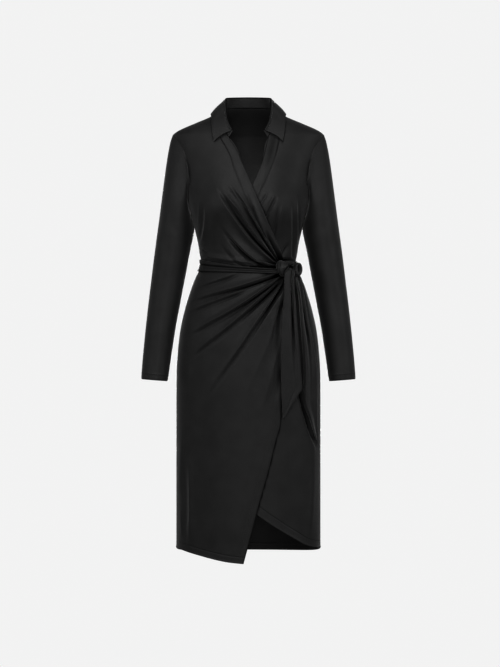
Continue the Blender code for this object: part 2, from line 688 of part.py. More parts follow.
def back_skirt():
    low = waist_height(0.5 * np.pi) - 0.5 * SEAM_GAP
    low_right = waist_height(-0.5 * np.pi) - 0.5 * SEAM_GAP

    def top(t):
        return waist(t, -seam_width(low_right), seam_width(low), True, -0.5 * SEAM_GAP)

    def hem(t):
        w = (2 * t - 1) * seam_width(BACK_HEM_SIDE + 0 * t)
        return np.stack([w, back_hem(w, BACK_HEM_SIDE + 0 * w)], axis=-1)

    def side(t, sign, start):
        z = start + (BACK_HEM_SIDE - start) * t
        return np.stack([sign * seam_width(z), z], axis=-1)
    sides = patch(top, hem, lambda t: side(t, -1, low_right), lambda t: side(t, 1, low))
    chart = sides(stations((1.0, 18)), stations((1.0, 15)) ** 1.3)
    face, back = back_points(chart)
    return wall("back_skirt", face, back)


# ---------------------------------------------------------------- sleeves

def armhole_ring(turns):
    """World points and the torso's outward directions round the armhole at +X, 0 at the shoulder point."""
    front = turns <= np.pi
    t_front = 1 - turns / np.pi
    t_back = 1 - (2 * np.pi - turns) / np.pi
    chart_front = armhole(np.clip(t_front, 0, 1), 1)
    chart_back = armhole(np.clip(t_back, 0, 1), 1, True)
    angle = np.where(front, to_angle(chart_front[:, 0], chart_front[:, 1]),
                     to_angle(chart_back[:, 0], chart_back[:, 1], back=True))
    z = np.where(front, chart_front[:, 1], chart_back[:, 1])
    return figure(angle, z)


def sleeve_points(turns, places):
    """The sleeve's face at +X: rings from the armhole (0) to the cuff (1)."""
    knots = np.linspace(0, 1, len(SLEEVE))
    ring = {name: table_curve_at(places, knots, name) for name in SLEEVE_COLUMNS}
    zeros = 0 * places
    cos, sin = np.cos(turns)[None, :, None], np.sin(turns)[None, :, None]
    outer = np.stack([ring["outer_x"], ring["middle_y"], ring["outer_z"]], axis=-1)
    inner = np.stack([ring["inner_x"], ring["middle_y"], ring["inner_z"]], axis=-1)
    middle, arm = (outer + inner) / 2, (outer - inner) / 2
    depth_way = np.stack([zeros, -ring["half_depth"], zeros], axis=-1)
    rings = middle[:, None] + arm[:, None] * cos + depth_way[:, None] * sin
    fade = (1 - ease(places / 0.36))[:, None, None]
    return rings + (armhole_ring(turns) - rings[0])[None] * fade


def table_curve_at(places, knots, name):
    return curve(places, knots, column(SLEEVE, SLEEVE_COLUMNS, name))


def sleeve(name, sign):
    """One sleeve: its face is kept clear of the bodice, and the wall goes inward from it."""
    turns = np.linspace(0, 2 * np.pi, 2 * ARMHOLE_STEPS, endpoint=False)
    places = np.linspace(0, 1, 20) ** 1.15
    face = sleeve_points(turns, places)
    way = face[1] - face[0]
    face[0] = face[0] + SEAM_GAP * way / np.linalg.norm(way, axis=-1, keepdims=True)
    under_arm = np.sin(0.5 * turns)
    for k in range(np.searchsorted(places, CLEAR_UNTIL)):
        near = SEAM_GAP + (SEAM_CLEARANCE - SEAM_GAP) * under_arm
        face[k] = push_out(face[k], near + (SLEEVE_CLEARANCE - near) * ease(places[k] / 0.03))
    face[..., 0] *= sign
    out = -sign * grid_normals(face, closed=True)
    return wall(name, face, face - CLOTH * out, closed=True)


# ---------------------------------------------------------------- collar

def collar_line(places, name, sign):
    values = table_curve(places, COLLAR, COLLAR_COLUMNS, "place", name)
    return values * sign if name.endswith("_x") else values


def neck_seam(places):
    """The neck seam at +X from the centre back (0) to the top of the V (1), with its outward directions."""
    back = places <= NECK_SEAM_BACK
    t_back = 0.5 + 0.5 * np.clip(places / NECK_SEAM_BACK, 0, 1)
    t_front = np.clip((places - NECK_SEAM_BACK) / (1 - NECK_SEAM_BACK), 0, 1) ** 1.8
    chart_back = back_neckline(t_back)
    chart_front = front_neckline(t_front, 1)
    angle = np.where(back, to_angle(chart_back[:, 0], chart_back[:, 1], back=True),
                     to_angle(chart_front[:, 0], chart_front[:, 1]))
    z = np.where(back, chart_back[:, 1], chart_front[:, 1])
    seam, out = figure(angle, z), normal(angle, z)
    off_panel = np.cross(np.gradient(seam, axis=0), out)
    return seam, out, off_panel / np.linalg.norm(off_panel, axis=-1, keepdims=True)


def collar():
    """Seam, stand, roll and leaf as one folded wall; each column is a closed section of that wall."""
    half = np.linspace(0, 1, 17)
    seam, out, off_panel = neck_seam(half)
    seam = seam - 0.5 * CLOTH * out + COLLAR_SEAM_LIFT * off_panel
    roll = np.stack([collar_line(half, "roll_" + axis, 1) for axis in "xyz"], axis=-1)
    edge = np.stack([collar_line(half, "edge_" + axis, 1) for axis in "xyz"], axis=-1)
    edge = push_out(edge, COLLAR_CLEARANCE)
    flat = (edge - roll) * np.array([1, 1, 0])
    away = flat / np.linalg.norm(flat, axis=-1, keepdims=True)
    up = np.array([0.0, 0.0, 1.0])
    inner_top = roll - COLLAR_ROLL * up
    outer_top = roll + 2 * COLLAR_ROLL * away - COLLAR_ROLL * up
    crown = roll + COLLAR_ROLL * away + 0.2 * COLLAR_ROLL * up
    centre = [seam, 0.5 * (seam + inner_top), inner_top, crown, outer_top]
    for share in (0.33, 0.67, 1.0):
        point = outer_top + share * (edge - outer_top) + 0.004 * np.sin(np.pi * share) * (away + 0.4 * up)
        centre.append(push_out(point, COLLAR_CLEARANCE))
    centre = np.stack(centre)
    run = np.gradient(centre, axis=0)
    level = np.sum(run * away[None], axis=-1)
    side = -run[..., 2:3] * away[None] + level[..., None] * up
    side = side / np.linalg.norm(side, axis=-1, keepdims=True)
    face, back = centre + 0.5 * CLOTH * side, centre - 0.5 * CLOTH * side
    mirror = np.array([-1.0, 1.0, 1.0])
    face = np.concatenate([face[:, :0:-1] * mirror, face], axis=1)
    back = np.concatenate([back[:, :0:-1] * mirror, back], axis=1)
    return wall("collar", face, back)


# ---------------------------------------------------------------- facings

def facing(name, rows, sign, lift):
    """A strip behind the V edge whose top rolls out past the edge as a lip."""
    heights = column(FACING_LIP, LIP_COLUMNS, "height")
    z = np.linspace(heights[0], heights[-1], 9)
    edge_x = table_curve(z, rows, WRAP_EDGE_COLUMNS, "height", "x")
    reach = table_curve(z, FACING_LIP, LIP_COLUMNS, "height", "reach")
    across = np.linspace(0, 1, 4)
    x = edge_x[:, None] + sign * (reach[:, None] - (reach[:, None] + FACING_WIDTH) * across[None, :])
    height = z[:, None] + 0 * x
    chart = np.stack([to_w(x, height), height], axis=-1)
    face, back = front_points(chart, lift(chart[..., 0], x, height) - CLOTH - LAYER_GAP)
    return wall(name, face, back)


# ---------------------------------------------------------------- sash, knot, loop and tails

def dressed_lift(angle, z):
    """How far the outermost front cloth stands off the figure."""
    place = figure(angle, z)
    front = np.cos(angle) > 0
    w = half_width(z) * np.arctan2(np.sin(angle), np.cos(angle)) / (0.5 * np.pi)
    over = np.where(z > -0.355, over_lift(w, place[..., 0], z, BODICE_FOLDS),
                    over_lift(w, place[..., 0], z, SKIRT_FOLDS))
    return np.where(front, np.maximum(over, 0), 0)


def sash():
    degrees = column(SASH, SASH_COLUMNS, "angle")
    at = np.linspace(degrees[0], degrees[-1], 61)
    middle = table_curve(at, SASH, SASH_COLUMNS, "angle", "height")
    half = table_curve(at, SASH, SASH_COLUMNS, "angle", "half_height")
    across = np.linspace(1, -1, 4)
    angle = np.radians(at)[None, :] + 0 * across[:, None]
    z = middle[None, :] + half[None, :] * across[:, None]
    cover = np.zeros_like(z)
    for shift in np.linspace(-0.004, 0.004, 5):
        cover = np.maximum(cover, dressed_lift(angle, z + shift))
    cover = np.max(cover, axis=0, keepdims=True) + 0 * z
    out = normal(angle, z)
    inner = figure(angle, z) + (cover + SASH_CLEARANCE)[..., None] * out
    return wall("sash", inner + SASH_CLOTH * out, inner)


def knot_ways():
    """The knot's directions: toward the wearer's left, outward and up."""
    turn = np.radians(KNOT_TURN)
    left = np.array([np.cos(turn), np.sin(turn), 0.0])
    out = np.array([np.sin(turn), -np.cos(turn), 0.0])
    return left, out, np.array([0.0, 0.0, 1.0])


def sash_knot():
    """A wound oval with a slanting groove where one turn of the sash crosses the other."""
    left, out, up = knot_ways()
    mesh = bpy.data.meshes.new("sash_knot")
    shape = bmesh.new()
    bmesh.ops.create_uvsphere(shape, u_segments=18, v_segments=12, radius=1.0)
    for corner in shape.verts:
        a, b, c = corner.co
        groove = 1 - KNOT_GROOVE * np.exp(-(((a - 0.25) * 0.85 - c * 0.5) / 0.22) ** 2)
        size = np.array(KNOT_SIZE) * (groove if b < 0 else 1.0)
        corner.co = np.array(KNOT_MIDDLE) + size[0] * a * left - size[1] * b * out + size[2] * c * up
    shape.to_mesh(mesh)
    shape.free()
    return finished("sash_knot", mesh)


def sash_loop():
    """A small ring of folded sash beside the knot."""
    left, out, up = knot_ways()
    turns = np.linspace(0, 2 * np.pi, 20, endpoint=False)
    away = np.cos(turns)[:, None] * left + np.sin(turns)[:, None] * up
    rim = LOOP_RADII[0] * np.cos(turns)[:, None] * left + LOOP_RADII[1] * np.sin(turns)[:, None] * up
    across = np.linspace(0.5, -0.5, 3)[:, None, None] * LOOP_WIDTH * out
    face = np.array(LOOP_MIDDLE) + rim[None] + across
    return wall("sash_loop", face, face - SASH_CLOTH * away[None], closed=True)


def lifted(x, z, lift):
    """Points seen at (x, z) in the front view that stand lift off the figure, with the outward direction."""
    at_x, at_z = x, z
    for _ in range(8):
        angle = angle_of(at_x / half_width(at_z))
        out = normal(angle, at_z)
        point = figure(angle, at_z) + lift[..., None] * out
        at_x = at_x + x - point[..., 0]
        at_z = at_z + z - point[..., 2]
    return point, out


def tail(name, rows, fold_sign):
    """A hanging end of the sash: a strip over the skirt with one lengthwise fold and a slanted end."""
    heights = column(rows, TAIL_COLUMNS, "height")
    z = np.interp(np.linspace(0, 1, 17), np.linspace(0, 1, len(heights)), heights)
    left = table_curve(z, rows, TAIL_COLUMNS, "height", "left")
    right = table_curve(z, rows, TAIL_COLUMNS, "height", "right")
    lift = table_curve(z, rows, TAIL_COLUMNS, "height", "lift")
    across = np.linspace(0, 1, 7)
    x = left[:, None] + (right - left)[:, None] * across[None, :]
    height = z[:, None] + 0 * x
    fade = 1 - ease((heights[0] - z) / 0.30)
    depth_here = fold_sign * TAIL_FOLD * (right - left) * (0.25 + 0.75 * fade)
    fold = depth_here[:, None] * np.sin(2 * np.pi * across)[None, :]
    inner, out = lifted(x, height, lift[:, None] + fold)
    return wall(name, inner + SASH_CLOTH * out, inner)


# ---------------------------------------------------------------- finishes and assembly

def finish(name, colour, roughness, sheen):
    material = bpy.data.materials.new(name)
    material.use_nodes = True
    shader = material.node_tree.nodes["Principled BSDF"]
    shader.inputs["Base Color"].default_value = (*colour, 1.0)
    shader.inputs["Roughness"].default_value = roughness
    shader.inputs["Sheen Weight"].default_value = sheen
    material.diffuse_color = (*colour, 1.0)
    return material


def clear_scene():
    for thing in list(bpy.data.objects):
        bpy.data.objects.remove(thing, do_unlink=True)


def main():
    clear_scene()
    dress = bpy.data.collections.new(COLLECTION)
    bpy.context.scene.collection.children.link(dress)
    body_pieces = [
        right_front_bodice(), left_front_bodice(), back_bodice(),
        right_front_skirt(), left_front_skirt(), back_skirt(),
        sleeve("right_sleeve", -1), sleeve("left_sleeve", 1), collar(),
        facing("right_front_facing", OVER_NECK_EDGE, 1, lambda w, x, z: over_lift(w, x, z, BODICE_FOLDS)),
        facing("left_front_facing", UNDER_NECK_EDGE, -1, lambda w, x, z: 0 * x),
    ]
    sash_pieces = [
        sash(), sash_knot(), sash_loop(),
        tail("sash_tail_front", FRONT_TAIL, 1), tail("sash_tail_side", SIDE_TAIL, -1),
    ]
    for piece in body_pieces:
        piece.data.materials.append(finish(piece.name + "_jersey", *JERSEY))
    for piece in sash_pieces:
        piece.data.materials.append(finish(piece.name + "_jersey", *SASH_JERSEY))


if __name__ == "__main__":
    main()
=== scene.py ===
"""Wrap dress with a shirt collar, long sleeves and a sash tied at the wearer's left side: its cloth.

Metres, +Z up. The front faces -Y and the wearer's left is +X. The origin is the middle of the line between
the two shoulder points. Every piece is a thin wall of cloth that follows the figure of its own solid, with
its gathers, hems, edge bands and stitching worked out from the tables below.
"""
import bpy
import numpy as np
from mathutils import Matrix


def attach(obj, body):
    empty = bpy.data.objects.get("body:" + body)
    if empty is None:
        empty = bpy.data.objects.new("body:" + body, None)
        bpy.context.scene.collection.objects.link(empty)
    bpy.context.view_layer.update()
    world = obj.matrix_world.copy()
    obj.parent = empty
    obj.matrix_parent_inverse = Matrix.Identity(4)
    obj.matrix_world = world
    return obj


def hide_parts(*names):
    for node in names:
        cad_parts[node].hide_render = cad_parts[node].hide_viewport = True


bl_info = {
    "name": "Wrap dress",
    "version": (1, 0, 0),
    "blender": (4, 5, 0),
    "location": "View3D > Sidebar > Dress",
    "description": "Makes the cloth pieces of a wrap dress with a tied sash",
    "category": "Add Mesh",
}

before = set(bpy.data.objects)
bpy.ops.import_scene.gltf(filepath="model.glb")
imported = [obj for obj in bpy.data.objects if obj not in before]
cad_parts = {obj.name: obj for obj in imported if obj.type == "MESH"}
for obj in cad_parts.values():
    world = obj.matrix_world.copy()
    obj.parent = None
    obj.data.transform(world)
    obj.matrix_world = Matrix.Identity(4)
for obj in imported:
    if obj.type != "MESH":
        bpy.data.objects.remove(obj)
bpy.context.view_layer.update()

# ---------------------------------------------------------------- sizes of the cut, as in the solids

CLOTH = 0.0015            # wall of one layer of jersey
SEAM_GAP = 0.0001         # between two pieces at a seam, pulled close
SASH_CLOTH = 0.0022       # the sash is two layers thick
FIGURE_COLUMNS = ("height", "half_width", "front", "back")
FIGURE = (
    (0.0600, 0.0600, 0.020, 0.049),
    (0.0465, 0.0625, 0.022, 0.053),
    (0.0380, 0.0680, 0.027, 0.057),
    (0.0225, 0.0950, 0.041, 0.066),
    (0.0075, 0.1300, 0.051, 0.074),
    (-0.0075, 0.1650, 0.058, 0.081),
    (-0.0150, 0.1790, 0.061, 0.084),
    (-0.0225, 0.1870, 0.064, 0.087),
    (-0.0600, 0.1770, 0.078, 0.094),
    (-0.1000, 0.1675, 0.092, 0.097),
    (-0.1375, 0.1620, 0.102, 0.096),
    (-0.1775, 0.1550, 0.111, 0.092),
    (-0.2150, 0.1465, 0.114, 0.087),
    (-0.2600, 0.1338, 0.111, 0.081),
    (-0.3000, 0.1248, 0.105, 0.074),
    (-0.3200, 0.1218, 0.102, 0.070),
    (-0.3340, 0.1190, 0.100, 0.068),
    (-0.3430, 0.1180, 0.099, 0.067),
    (-0.3520, 0.1192, 0.099, 0.068),
    (-0.3600, 0.1222, 0.101, 0.070),
    (-0.3700, 0.1274, 0.103, 0.074),
    (-0.3800, 0.1323, 0.105, 0.078),
    (-0.4100, 0.1436, 0.110, 0.087),
    (-0.4600, 0.1590, 0.116, 0.103),
    (-0.5100, 0.1700, 0.120, 0.116),
    (-0.5600, 0.1760, 0.121, 0.123),
    (-0.6200, 0.1795, 0.121, 0.125),
    (-0.7000, 0.1800, 0.120, 0.123),
    (-0.8500, 0.1800, 0.119, 0.119),
    (-1.1200, 0.1800, 0.118, 0.115),
)
ROUNDNESS = 2.3           # exponent of the figure's section: 2 is an ellipse, more is squarer
CUP_REACH = 0.016         # how far a cup stands out
CUP_CENTRE = (0.075, -0.205)
CUP_SPREAD = (0.044, 0.055)
SHOULDER_POINT = (0.187, -0.0225)
NECK_POINT = (0.068, 0.038)
BACK_NECK_HEIGHT = 0.0465
NECKLINE_COLUMNS = ("height", "half_width")
FRONT_NECKLINE = ((0.0380, 0.0680), (0.0250, 0.0700), (0.0140, 0.0690), (0.0000, 0.0655),
                  (-0.0100, 0.0610), (-0.0200, 0.0560), (-0.0320, 0.0498))
ARMPIT_HEIGHT = -0.215
ARMHOLE_FRONT = 0.048     # how far the armhole is scooped forward of the side line
ARMHOLE_BACK = 0.052
ARMHOLE_TOP = 1.15        # 1 makes the end of the armhole round; more makes it narrower
ARMHOLE_FOOT = 1.6
WAIST_COLUMNS = ("angle", "height")
WAIST = ((-180, -0.350), (-90, -0.348), (-40, -0.350), (0, -0.3555), (43, -0.360), (90, -0.356),
         (180, -0.350))
HUB = (0.080, -0.3585)    # where the over fronts are gathered, x and z
WRAP_EDGE_COLUMNS = ("x", "height")
OVER_NECK_EDGE = ((-0.0498, -0.032), (-0.0275, -0.070), (-0.0125, -0.105), (0.0090, -0.155), (0.0240, -0.189),
                  (0.0415, -0.226), (0.0560, -0.263), (0.0690, -0.300), (0.0780, -0.336), (0.0810, -0.3550))
UNDER_NECK_EDGE = ((0.0505, -0.032), (0.0365, -0.089), (0.0220, -0.127), (0.0090, -0.155),
                   (-0.0200, -0.215), (-0.0500, -0.275), (-0.0720, -0.325))
OVER_SKIRT_EDGE = ((0.0880, -0.365), (0.0880, -0.450), (0.0865, -0.560), (0.0835, -0.640), (0.0805, -0.705),
                   (0.0790, -0.740), (0.0680, -0.783), (0.0490, -0.861), (0.0270, -0.939), (0.0040, -1.027),
                   (-0.0120, -1.087))
OVER_SKIRT_HEM = ((-0.1800, -1.052), (-0.1400, -1.063), (-0.0900, -1.075), (-0.0500, -1.083),
                  (-0.0120, -1.087))
UNDER_EDGE_AT_WAIST = -0.080
UNDER_SKIRT_EDGE = ((-0.0850, -0.480), (-0.0840, -0.640), (-0.0760, -0.780))
UNDER_SKIRT_HEM = ((-0.0760, -0.780), (-0.0620, -0.850), (-0.0300, -0.915), (0.0220, -0.966),
                   (0.0620, -0.994), (0.1110, -1.024), (0.1480, -1.044), (0.1800, -1.052))
BACK_HEM_SIDE = -1.052
BACK_HEM_CENTRE = -1.067
OVER_RISE = 0.0036        # how far the over front's face stands off the under front's face
OVER_RAMP = 0.045         # it rises to that in this width, just outside the under front's free edge
SIDE_RAMP = 0.060         # and it lies flat, without folds, near the side seam
GATHER_RADIUS = 0.012     # the gathered panels stop this far from the knot's middle, under the knot
SEAM_CLEARANCE = 0.0008   # at its seam the sleeve's face stands this far off the bodice, under the arm
SLEEVE_CLEARANCE = 0.0020 # and below the seam this far
CLEAR_UNTIL = 0.45        # down to this place along the sleeve
ALLOWANCE = (0.0050, 0.0035, 0.0020, 0.0008)    # rows of a seam allowance, inside the next piece
ALLOWANCE_DEPTH = 0.0021  # how far its face lies under the figure, behind that piece's wall
ALLOWANCE_CLOTH = 0.0007
SIDE_SHARE = 0.36         # share of a bodice panel's side that is side seam, below the armhole
BOW_PEAK = 27 / 4         # makes the bow's greatest value 1
SHOULDER_BOW = 0.030      # bow of the ray that ends at the shoulder point
BEND_REACH = 0.35         # how far round the outline a wrap edge bends the rays beside it
SLEEVE_COLUMNS = ("outer_x", "outer_z", "inner_x", "inner_z", "half_depth", "middle_y")
SLEEVE = (
    (0.1870, -0.0225, 0.1465, -0.2150, 0.0500, 0.0020),
    (0.1925, -0.0375, 0.1470, -0.2185, 0.0510, 0.0020),
    (0.1975, -0.0600, 0.1435, -0.2235, 0.0520, 0.0015),
    (0.2025, -0.0900, 0.1405, -0.2310, 0.0525, 0.0010),
    (0.2080, -0.1300, 0.1375, -0.2400, 0.0525, 0.0000),
    (0.2145, -0.1800, 0.1355, -0.2510, 0.0520, -0.0010),
    (0.2215, -0.2350, 0.1378, -0.2700, 0.0505, -0.0020),
    (0.2285, -0.2860, 0.1460, -0.3080, 0.0485, -0.0030),
    (0.2355, -0.3400, 0.1550, -0.3560, 0.0460, -0.0050),
    (0.2415, -0.3900, 0.1640, -0.4030, 0.0435, -0.0080),
    (0.2475, -0.4400, 0.1730, -0.4510, 0.0415, -0.0120),
    (0.2530, -0.4900, 0.1820, -0.4990, 0.0395, -0.0170),
    (0.2580, -0.5400, 0.1895, -0.5475, 0.0372, -0.0225),
    (0.2625, -0.5900, 0.1965, -0.5960, 0.0345, -0.0280),
    (0.2655, -0.6325, 0.2020, -0.6375, 0.0325, -0.0330),
)
COLLAR_COLUMNS = ("place", "roll_x", "roll_y", "roll_z", "edge_x", "edge_y", "edge_z")
COLLAR = (
    (0.00, 0.0000, 0.0500, 0.0740, 0.0000, 0.0830, 0.0270),
    (0.15, 0.0230, 0.0465, 0.0735, 0.0300, 0.0810, 0.0265),
    (0.30, 0.0430, 0.0330, 0.0720, 0.0640, 0.0680, 0.0235),
    (0.45, 0.0540, 0.0110, 0.0690, 0.0870, 0.0320, 0.0225),
    (0.60, 0.0550, -0.0150, 0.0520, 0.0915, -0.0150, 0.0215),
    (0.75, 0.0530, -0.0350, 0.0260, 0.0918, -0.0420, 0.0070),
    (0.88, 0.0475, -0.0520, 0.0035, 0.0895, -0.0575, -0.0185),
    (1.00, 0.0390, -0.0640, -0.0135, 0.0850, -0.0690, -0.0428),
)
COLLAR_ROLL = 0.0024      # radius of the fold, to the middle of the wall
COLLAR_CLEARANCE = 0.0050 # the leaf's lift off the shoulders
COLLAR_SEAM_LIFT = 0.0012 # from the bodice's neck edge to the middle of the collar's wall
NECK_SEAM_BACK = 0.51     # the collar's place at the neck point
COLLAR_HALF_LENGTH = 0.19 # of its cloth, for the map of the knit
COLLAR_SEAM_SHADE = (0.6, 0.3)    # of its first rows, along the neck seam
COLLAR_ROLL_SHADE = 0.85          # of the rows on the inner side of its roll
FACING_WIDTH = 0.020
FACING_BEHIND = 0.0010    # from the front's wall to the facing
FACING_LIP = ((-0.034, 0.0030), (-0.050, 0.0050), (-0.070, 0.0035), (-0.095, 0.0008), (-0.120, -0.0004))
LIP_COLUMNS = ("height", "reach")
SASH_COLUMNS = ("angle", "height", "half_height")
SASH = (
    (-317, -0.3600, 0.0060),
    (-290, -0.3560, 0.0100),
    (-270, -0.3520, 0.0125),
    (-180, -0.3490, 0.0140),
    (-90, -0.3488, 0.0142),
    (-60, -0.3508, 0.0136),
    (-40, -0.3544, 0.0117),
    (-10, -0.3600, 0.0081),
    (14, -0.3636, 0.0064),
    (31, -0.3658, 0.0056),
    (38, -0.3662, 0.0052),
)
SASH_CLEARANCE = 0.0012
SASH_CROWN = (0, 0.0006, 0.0036, 0.0026, 0)    # how far its face stands out, from its lower to its upper edge
SASH_CREASE_DEPTHS = (0.0016, 0.0009)         # of its long crease and of the one near its lower edge
SASH_DEGREE = 0.0023      # length of the sash in one degree round the waist
BLOUSE = 0.0042           # the bodice hangs this far over the sash
BLOUSE_AT = 0.0125        # this far above the sash's upper edge
BLOUSE_REACH = 0.0062
KNOT_TURN = 30                            # degrees: the knot faces a little toward the wearer's left
KNOT_COLUMNS = ("height", "left", "right", "front")
KNOT = (
    (-0.3380, 0.0775, 0.0805, -0.1030),
    (-0.3392, 0.0750, 0.0840, -0.1080),
    (-0.3412, 0.0727, 0.0885, -0.1140),
    (-0.3440, 0.0706, 0.0945, -0.1185),
    (-0.3475, 0.0690, 0.0995, -0.1220),
    (-0.3520, 0.0681, 0.1012, -0.1255),
    (-0.3580, 0.0683, 0.0975, -0.1275),
    (-0.3640, 0.0700, 0.0935, -0.1270),
    (-0.3700, 0.0735, 0.0905, -0.1240),
    (-0.3750, 0.0775, 0.0890, -0.1180),
    (-0.3785, 0.0812, 0.0878, -0.1080),
    (-0.3798, 0.0840, 0.0862, -0.1000),
)
KNOT_BACK = -0.0955
KNOT_RADIUS = 0.014       # of its lump, on the average, for the map of the knit
# Creases of the knot: places across its width at the top, middle and foot, depth and half width
KNOT_CREASES = ((0.16, 0.12, 0.30, 0.0014, 0.028), (0.40, 0.30, 0.52, 0.0016, 0.028),
                (1.15, 0.88, 0.74, 0.0056, 0.048))
LOOP_MIDDLE = (0.1216, -0.0885, -0.3604)
LOOP_TURN = 34                            # degrees: the loop's hole looks past the wearer's left
LOOP_RADII = (0.0100, 0.0158)
LOOP_RADIUS = 0.0118                      # of its cloth, on the average, for the map of the knit
LOOP_WIDTH = 0.014
LOOP_CROWN = 0.0012                       # how far its middle stands out over its rims
LOOP_CLOTH = (0.0046, 0.0066)             # wall of the folded loop at its top and at its foot
TAIL_COLUMNS = ("height", "left", "right", "lift")
FRONT_TAIL = (
    (-0.3545, 0.0992, 0.1106, 0.0262),
    (-0.3562, 0.0965, 0.1125, 0.0268),
    (-0.3630, 0.0922, 0.1145, 0.0278),
    (-0.3725, 0.0884, 0.1150, 0.0276),
    (-0.3825, 0.0879, 0.1132, 0.0258),
    (-0.4117, 0.0877, 0.1140, 0.0212),
    (-0.4360, 0.0862, 0.1165, 0.0172),
    (-0.4900, 0.0820, 0.1203, 0.0125),
    (-0.5600, 0.0797, 0.1262, 0.0095),
    (-0.6200, 0.0797, 0.1300, 0.0080),
    (-0.6560, 0.0805, 0.1324, 0.0075),
    (-0.6585, 0.0806, 0.1312, 0.0075),
    (-0.6700, 0.0811, 0.1238, 0.0074),
    (-0.6900, 0.0822, 0.1110, 0.0072),
    (-0.7270, 0.0850, 0.0875, 0.0070),
)
SIDE_TAIL = (
    (-0.3725, 0.1160, 0.1240, 0.0200),
    (-0.3950, 0.1182, 0.1300, 0.0170),
    (-0.4110, 0.1208, 0.1345, 0.0145),
    (-0.4360, 0.1240, 0.1392, 0.0115),
    (-0.4980, 0.1280, 0.1503, 0.0080),
    (-0.5600, 0.1330, 0.1627, 0.0065),
    (-0.6200, 0.1355, 0.1690, 0.0060),
    (-0.6830, 0.1342, 0.1700, 0.0058),
    (-0.7330, 0.1510, 0.1702, 0.0056),
    (-0.7820, 0.1672, 0.1702, 0.0055),
)

# ---------------------------------------------------------------- sizes of the cloth's own detail

# Distances of the rows of points beside an edge: the rim, the hem's body and the stitch line
EDGE_GAPS = (0.0200, 0.0180, 0.0170, 0.0163, 0.0156, 0.0145, 0.0120, 0.0090, 0.0060,
             0.0038, 0.0022, 0.0012, 0.0)
SEAM_GAPS = (0.0060, 0.0036, 0.0020, 0.0010, 0.0)
HEM_STITCH = 0.0163        # the hem's stitch line lies this far from the edge
STITCH_PLACE = EDGE_GAPS.index(HEM_STITCH) - len(EDGE_GAPS)      # its row, counted from the last one
BAND_SQUEEZE = 0.120       # how far in the points make room for the edge's own rows
BAND_FULL = 0.110          # beyond this distance from the knot a band beside the edge has its full width
LEAST_BAND = 0.06          # share of its width that a band keeps at the knot
HEM_THICK = 0.0001         # how much the turned-up hem stands proud
HEM_SINK = 0.0007          # depth of the stitched line
EDGE_BEAD = 0.0008         # the turned edge stands this much proud
EDGE_ROLL = -0.0013        # and the over skirt's free edge rolls under
EDGE_BEAD_WIDTH = 0.0032

# Ridges in millimetres of the front view: a crest through three points from the knot outward, its height,
# its half widths to the left and to the right of that way, and the groove beside it, if it has one: depth,
# place (left is plus) and half width
RIDGE_COLUMNS = ("x0", "z0", "x1", "z1", "x2", "z2", "crest", "left", "right",
                 "groove", "groove_at", "groove_wide")
NO_GROOVE = (0, 0, 3)
BODICE_FOLDS = (
    (73.3, -353.6, -6.8, -271, -87, -152.6,  7.5, 9, 3, 12, -6.4, 4.4),
    (72.1, -347.4, 3, -253.7, -72.2, -157.5,  7.5, 3, 5.5, 0, -8, 3),
    (72.1, -343.7, 20.3, -247.5, -47.5, -142.7,  6, 2.6, 5, 11, 5.4, 4),
    (70.8, -336.3, 24, -235.2, -15.5, -140.3,  2.6, 1.8, 5, 5, 2.8, 2.4),
    (73.3, -342.5, 57.3, -304.2, 31.4, -243.8,  0, 3, 3, 10, 0, 3.8),
    (80.7, -346.2, 68.4, -310.4, 47.4, -261.1,  3, 3, 3.5),
    (68.4, -349.9, 7.9, -328.9, -69.7, -243.8,  6.5, 3.8, 11, 10, 6, 4.4),
    (73.3, -356.5, 49.9, -352.4, 28.9, -338,  5.5, 3.4, 2.8, 6, -5.0, 3),
    (9.2, -354.8, -25.3, -335.1, -64.8, -283.3,  2.8, 6, 10, 2, 9, 4),
    (-77.1, -303, -87, -268.5, -93.1, -224.1,  1.6, 8, 8),
)
BODICE_SIDE_FOLDS = (
    (-119.8, -301.6, -107.4, -247.1, -107.4, -185,  2.2, 3.4, 6, 1.6, 6.5, 3.4),
    (-124.8, -261.9, -121.8, -222.2, -121.8, -177.6,  1.4, 3.2, 3.2),
    (-118.6, -305.4, -104.9, -313.1, -91.3, -326.5,  1.6, 3, 1.6, 2, -2.2, 1.5),
    (-112.4, -332.7, -102.4, -331.4, -92.5, -327.7,  1.2, 2, 3),
)
SKIRT_FOLDS = (
    (-20.4, -368.4, -77.1, -389.3, -133.8, -404.1,  2.4, 3, 9, 5, 5.5, 3.4),
    (78.2, -369.6, -23.4, -405.6, -153.5, -438.6,  8, 3, 12, 12, 5.6, 3.4),
    (-0.7, -408.1, -70.2, -436.2, -158.4, -467.2,  4, 2.8, 7, 7, 4.8, 2.8),
    (80.7, -375.8, -27.8, -454.7, -153.5, -522.5,  8.5, 3, 9, 13, 5.8, 3.5),
    (81.9, -379.5, -23.4, -481, -143.7, -574.2,  8, 3.2, 9, 13, 6.0, 3.6),
    (83.1, -384.4, 11.6, -504, -111.6, -682.7,  7.5, 3.4, 9, 13, 6.2, 3.7),
    (85.6, -394.3, 69.6, -463.3, 49.8, -552,  4, 3.5, 6, 10, 9.8, 6.4),
    (85.6, -416.5, 72, -497.8, 63.4, -608.7,  0, 3, 3, 11, 0, 8),
    (79.4, -535, 71.5, -609, 67, -688,  0, 3, 3, 13, 0, 5),
    (70.8, -480.5, 33.8, -579.1, -15.5, -682.7,  1.8, 9, 10),
    (78.2, -510.1, 53.5, -633.4, 21.5, -732,  1.8, 8, 9),
)
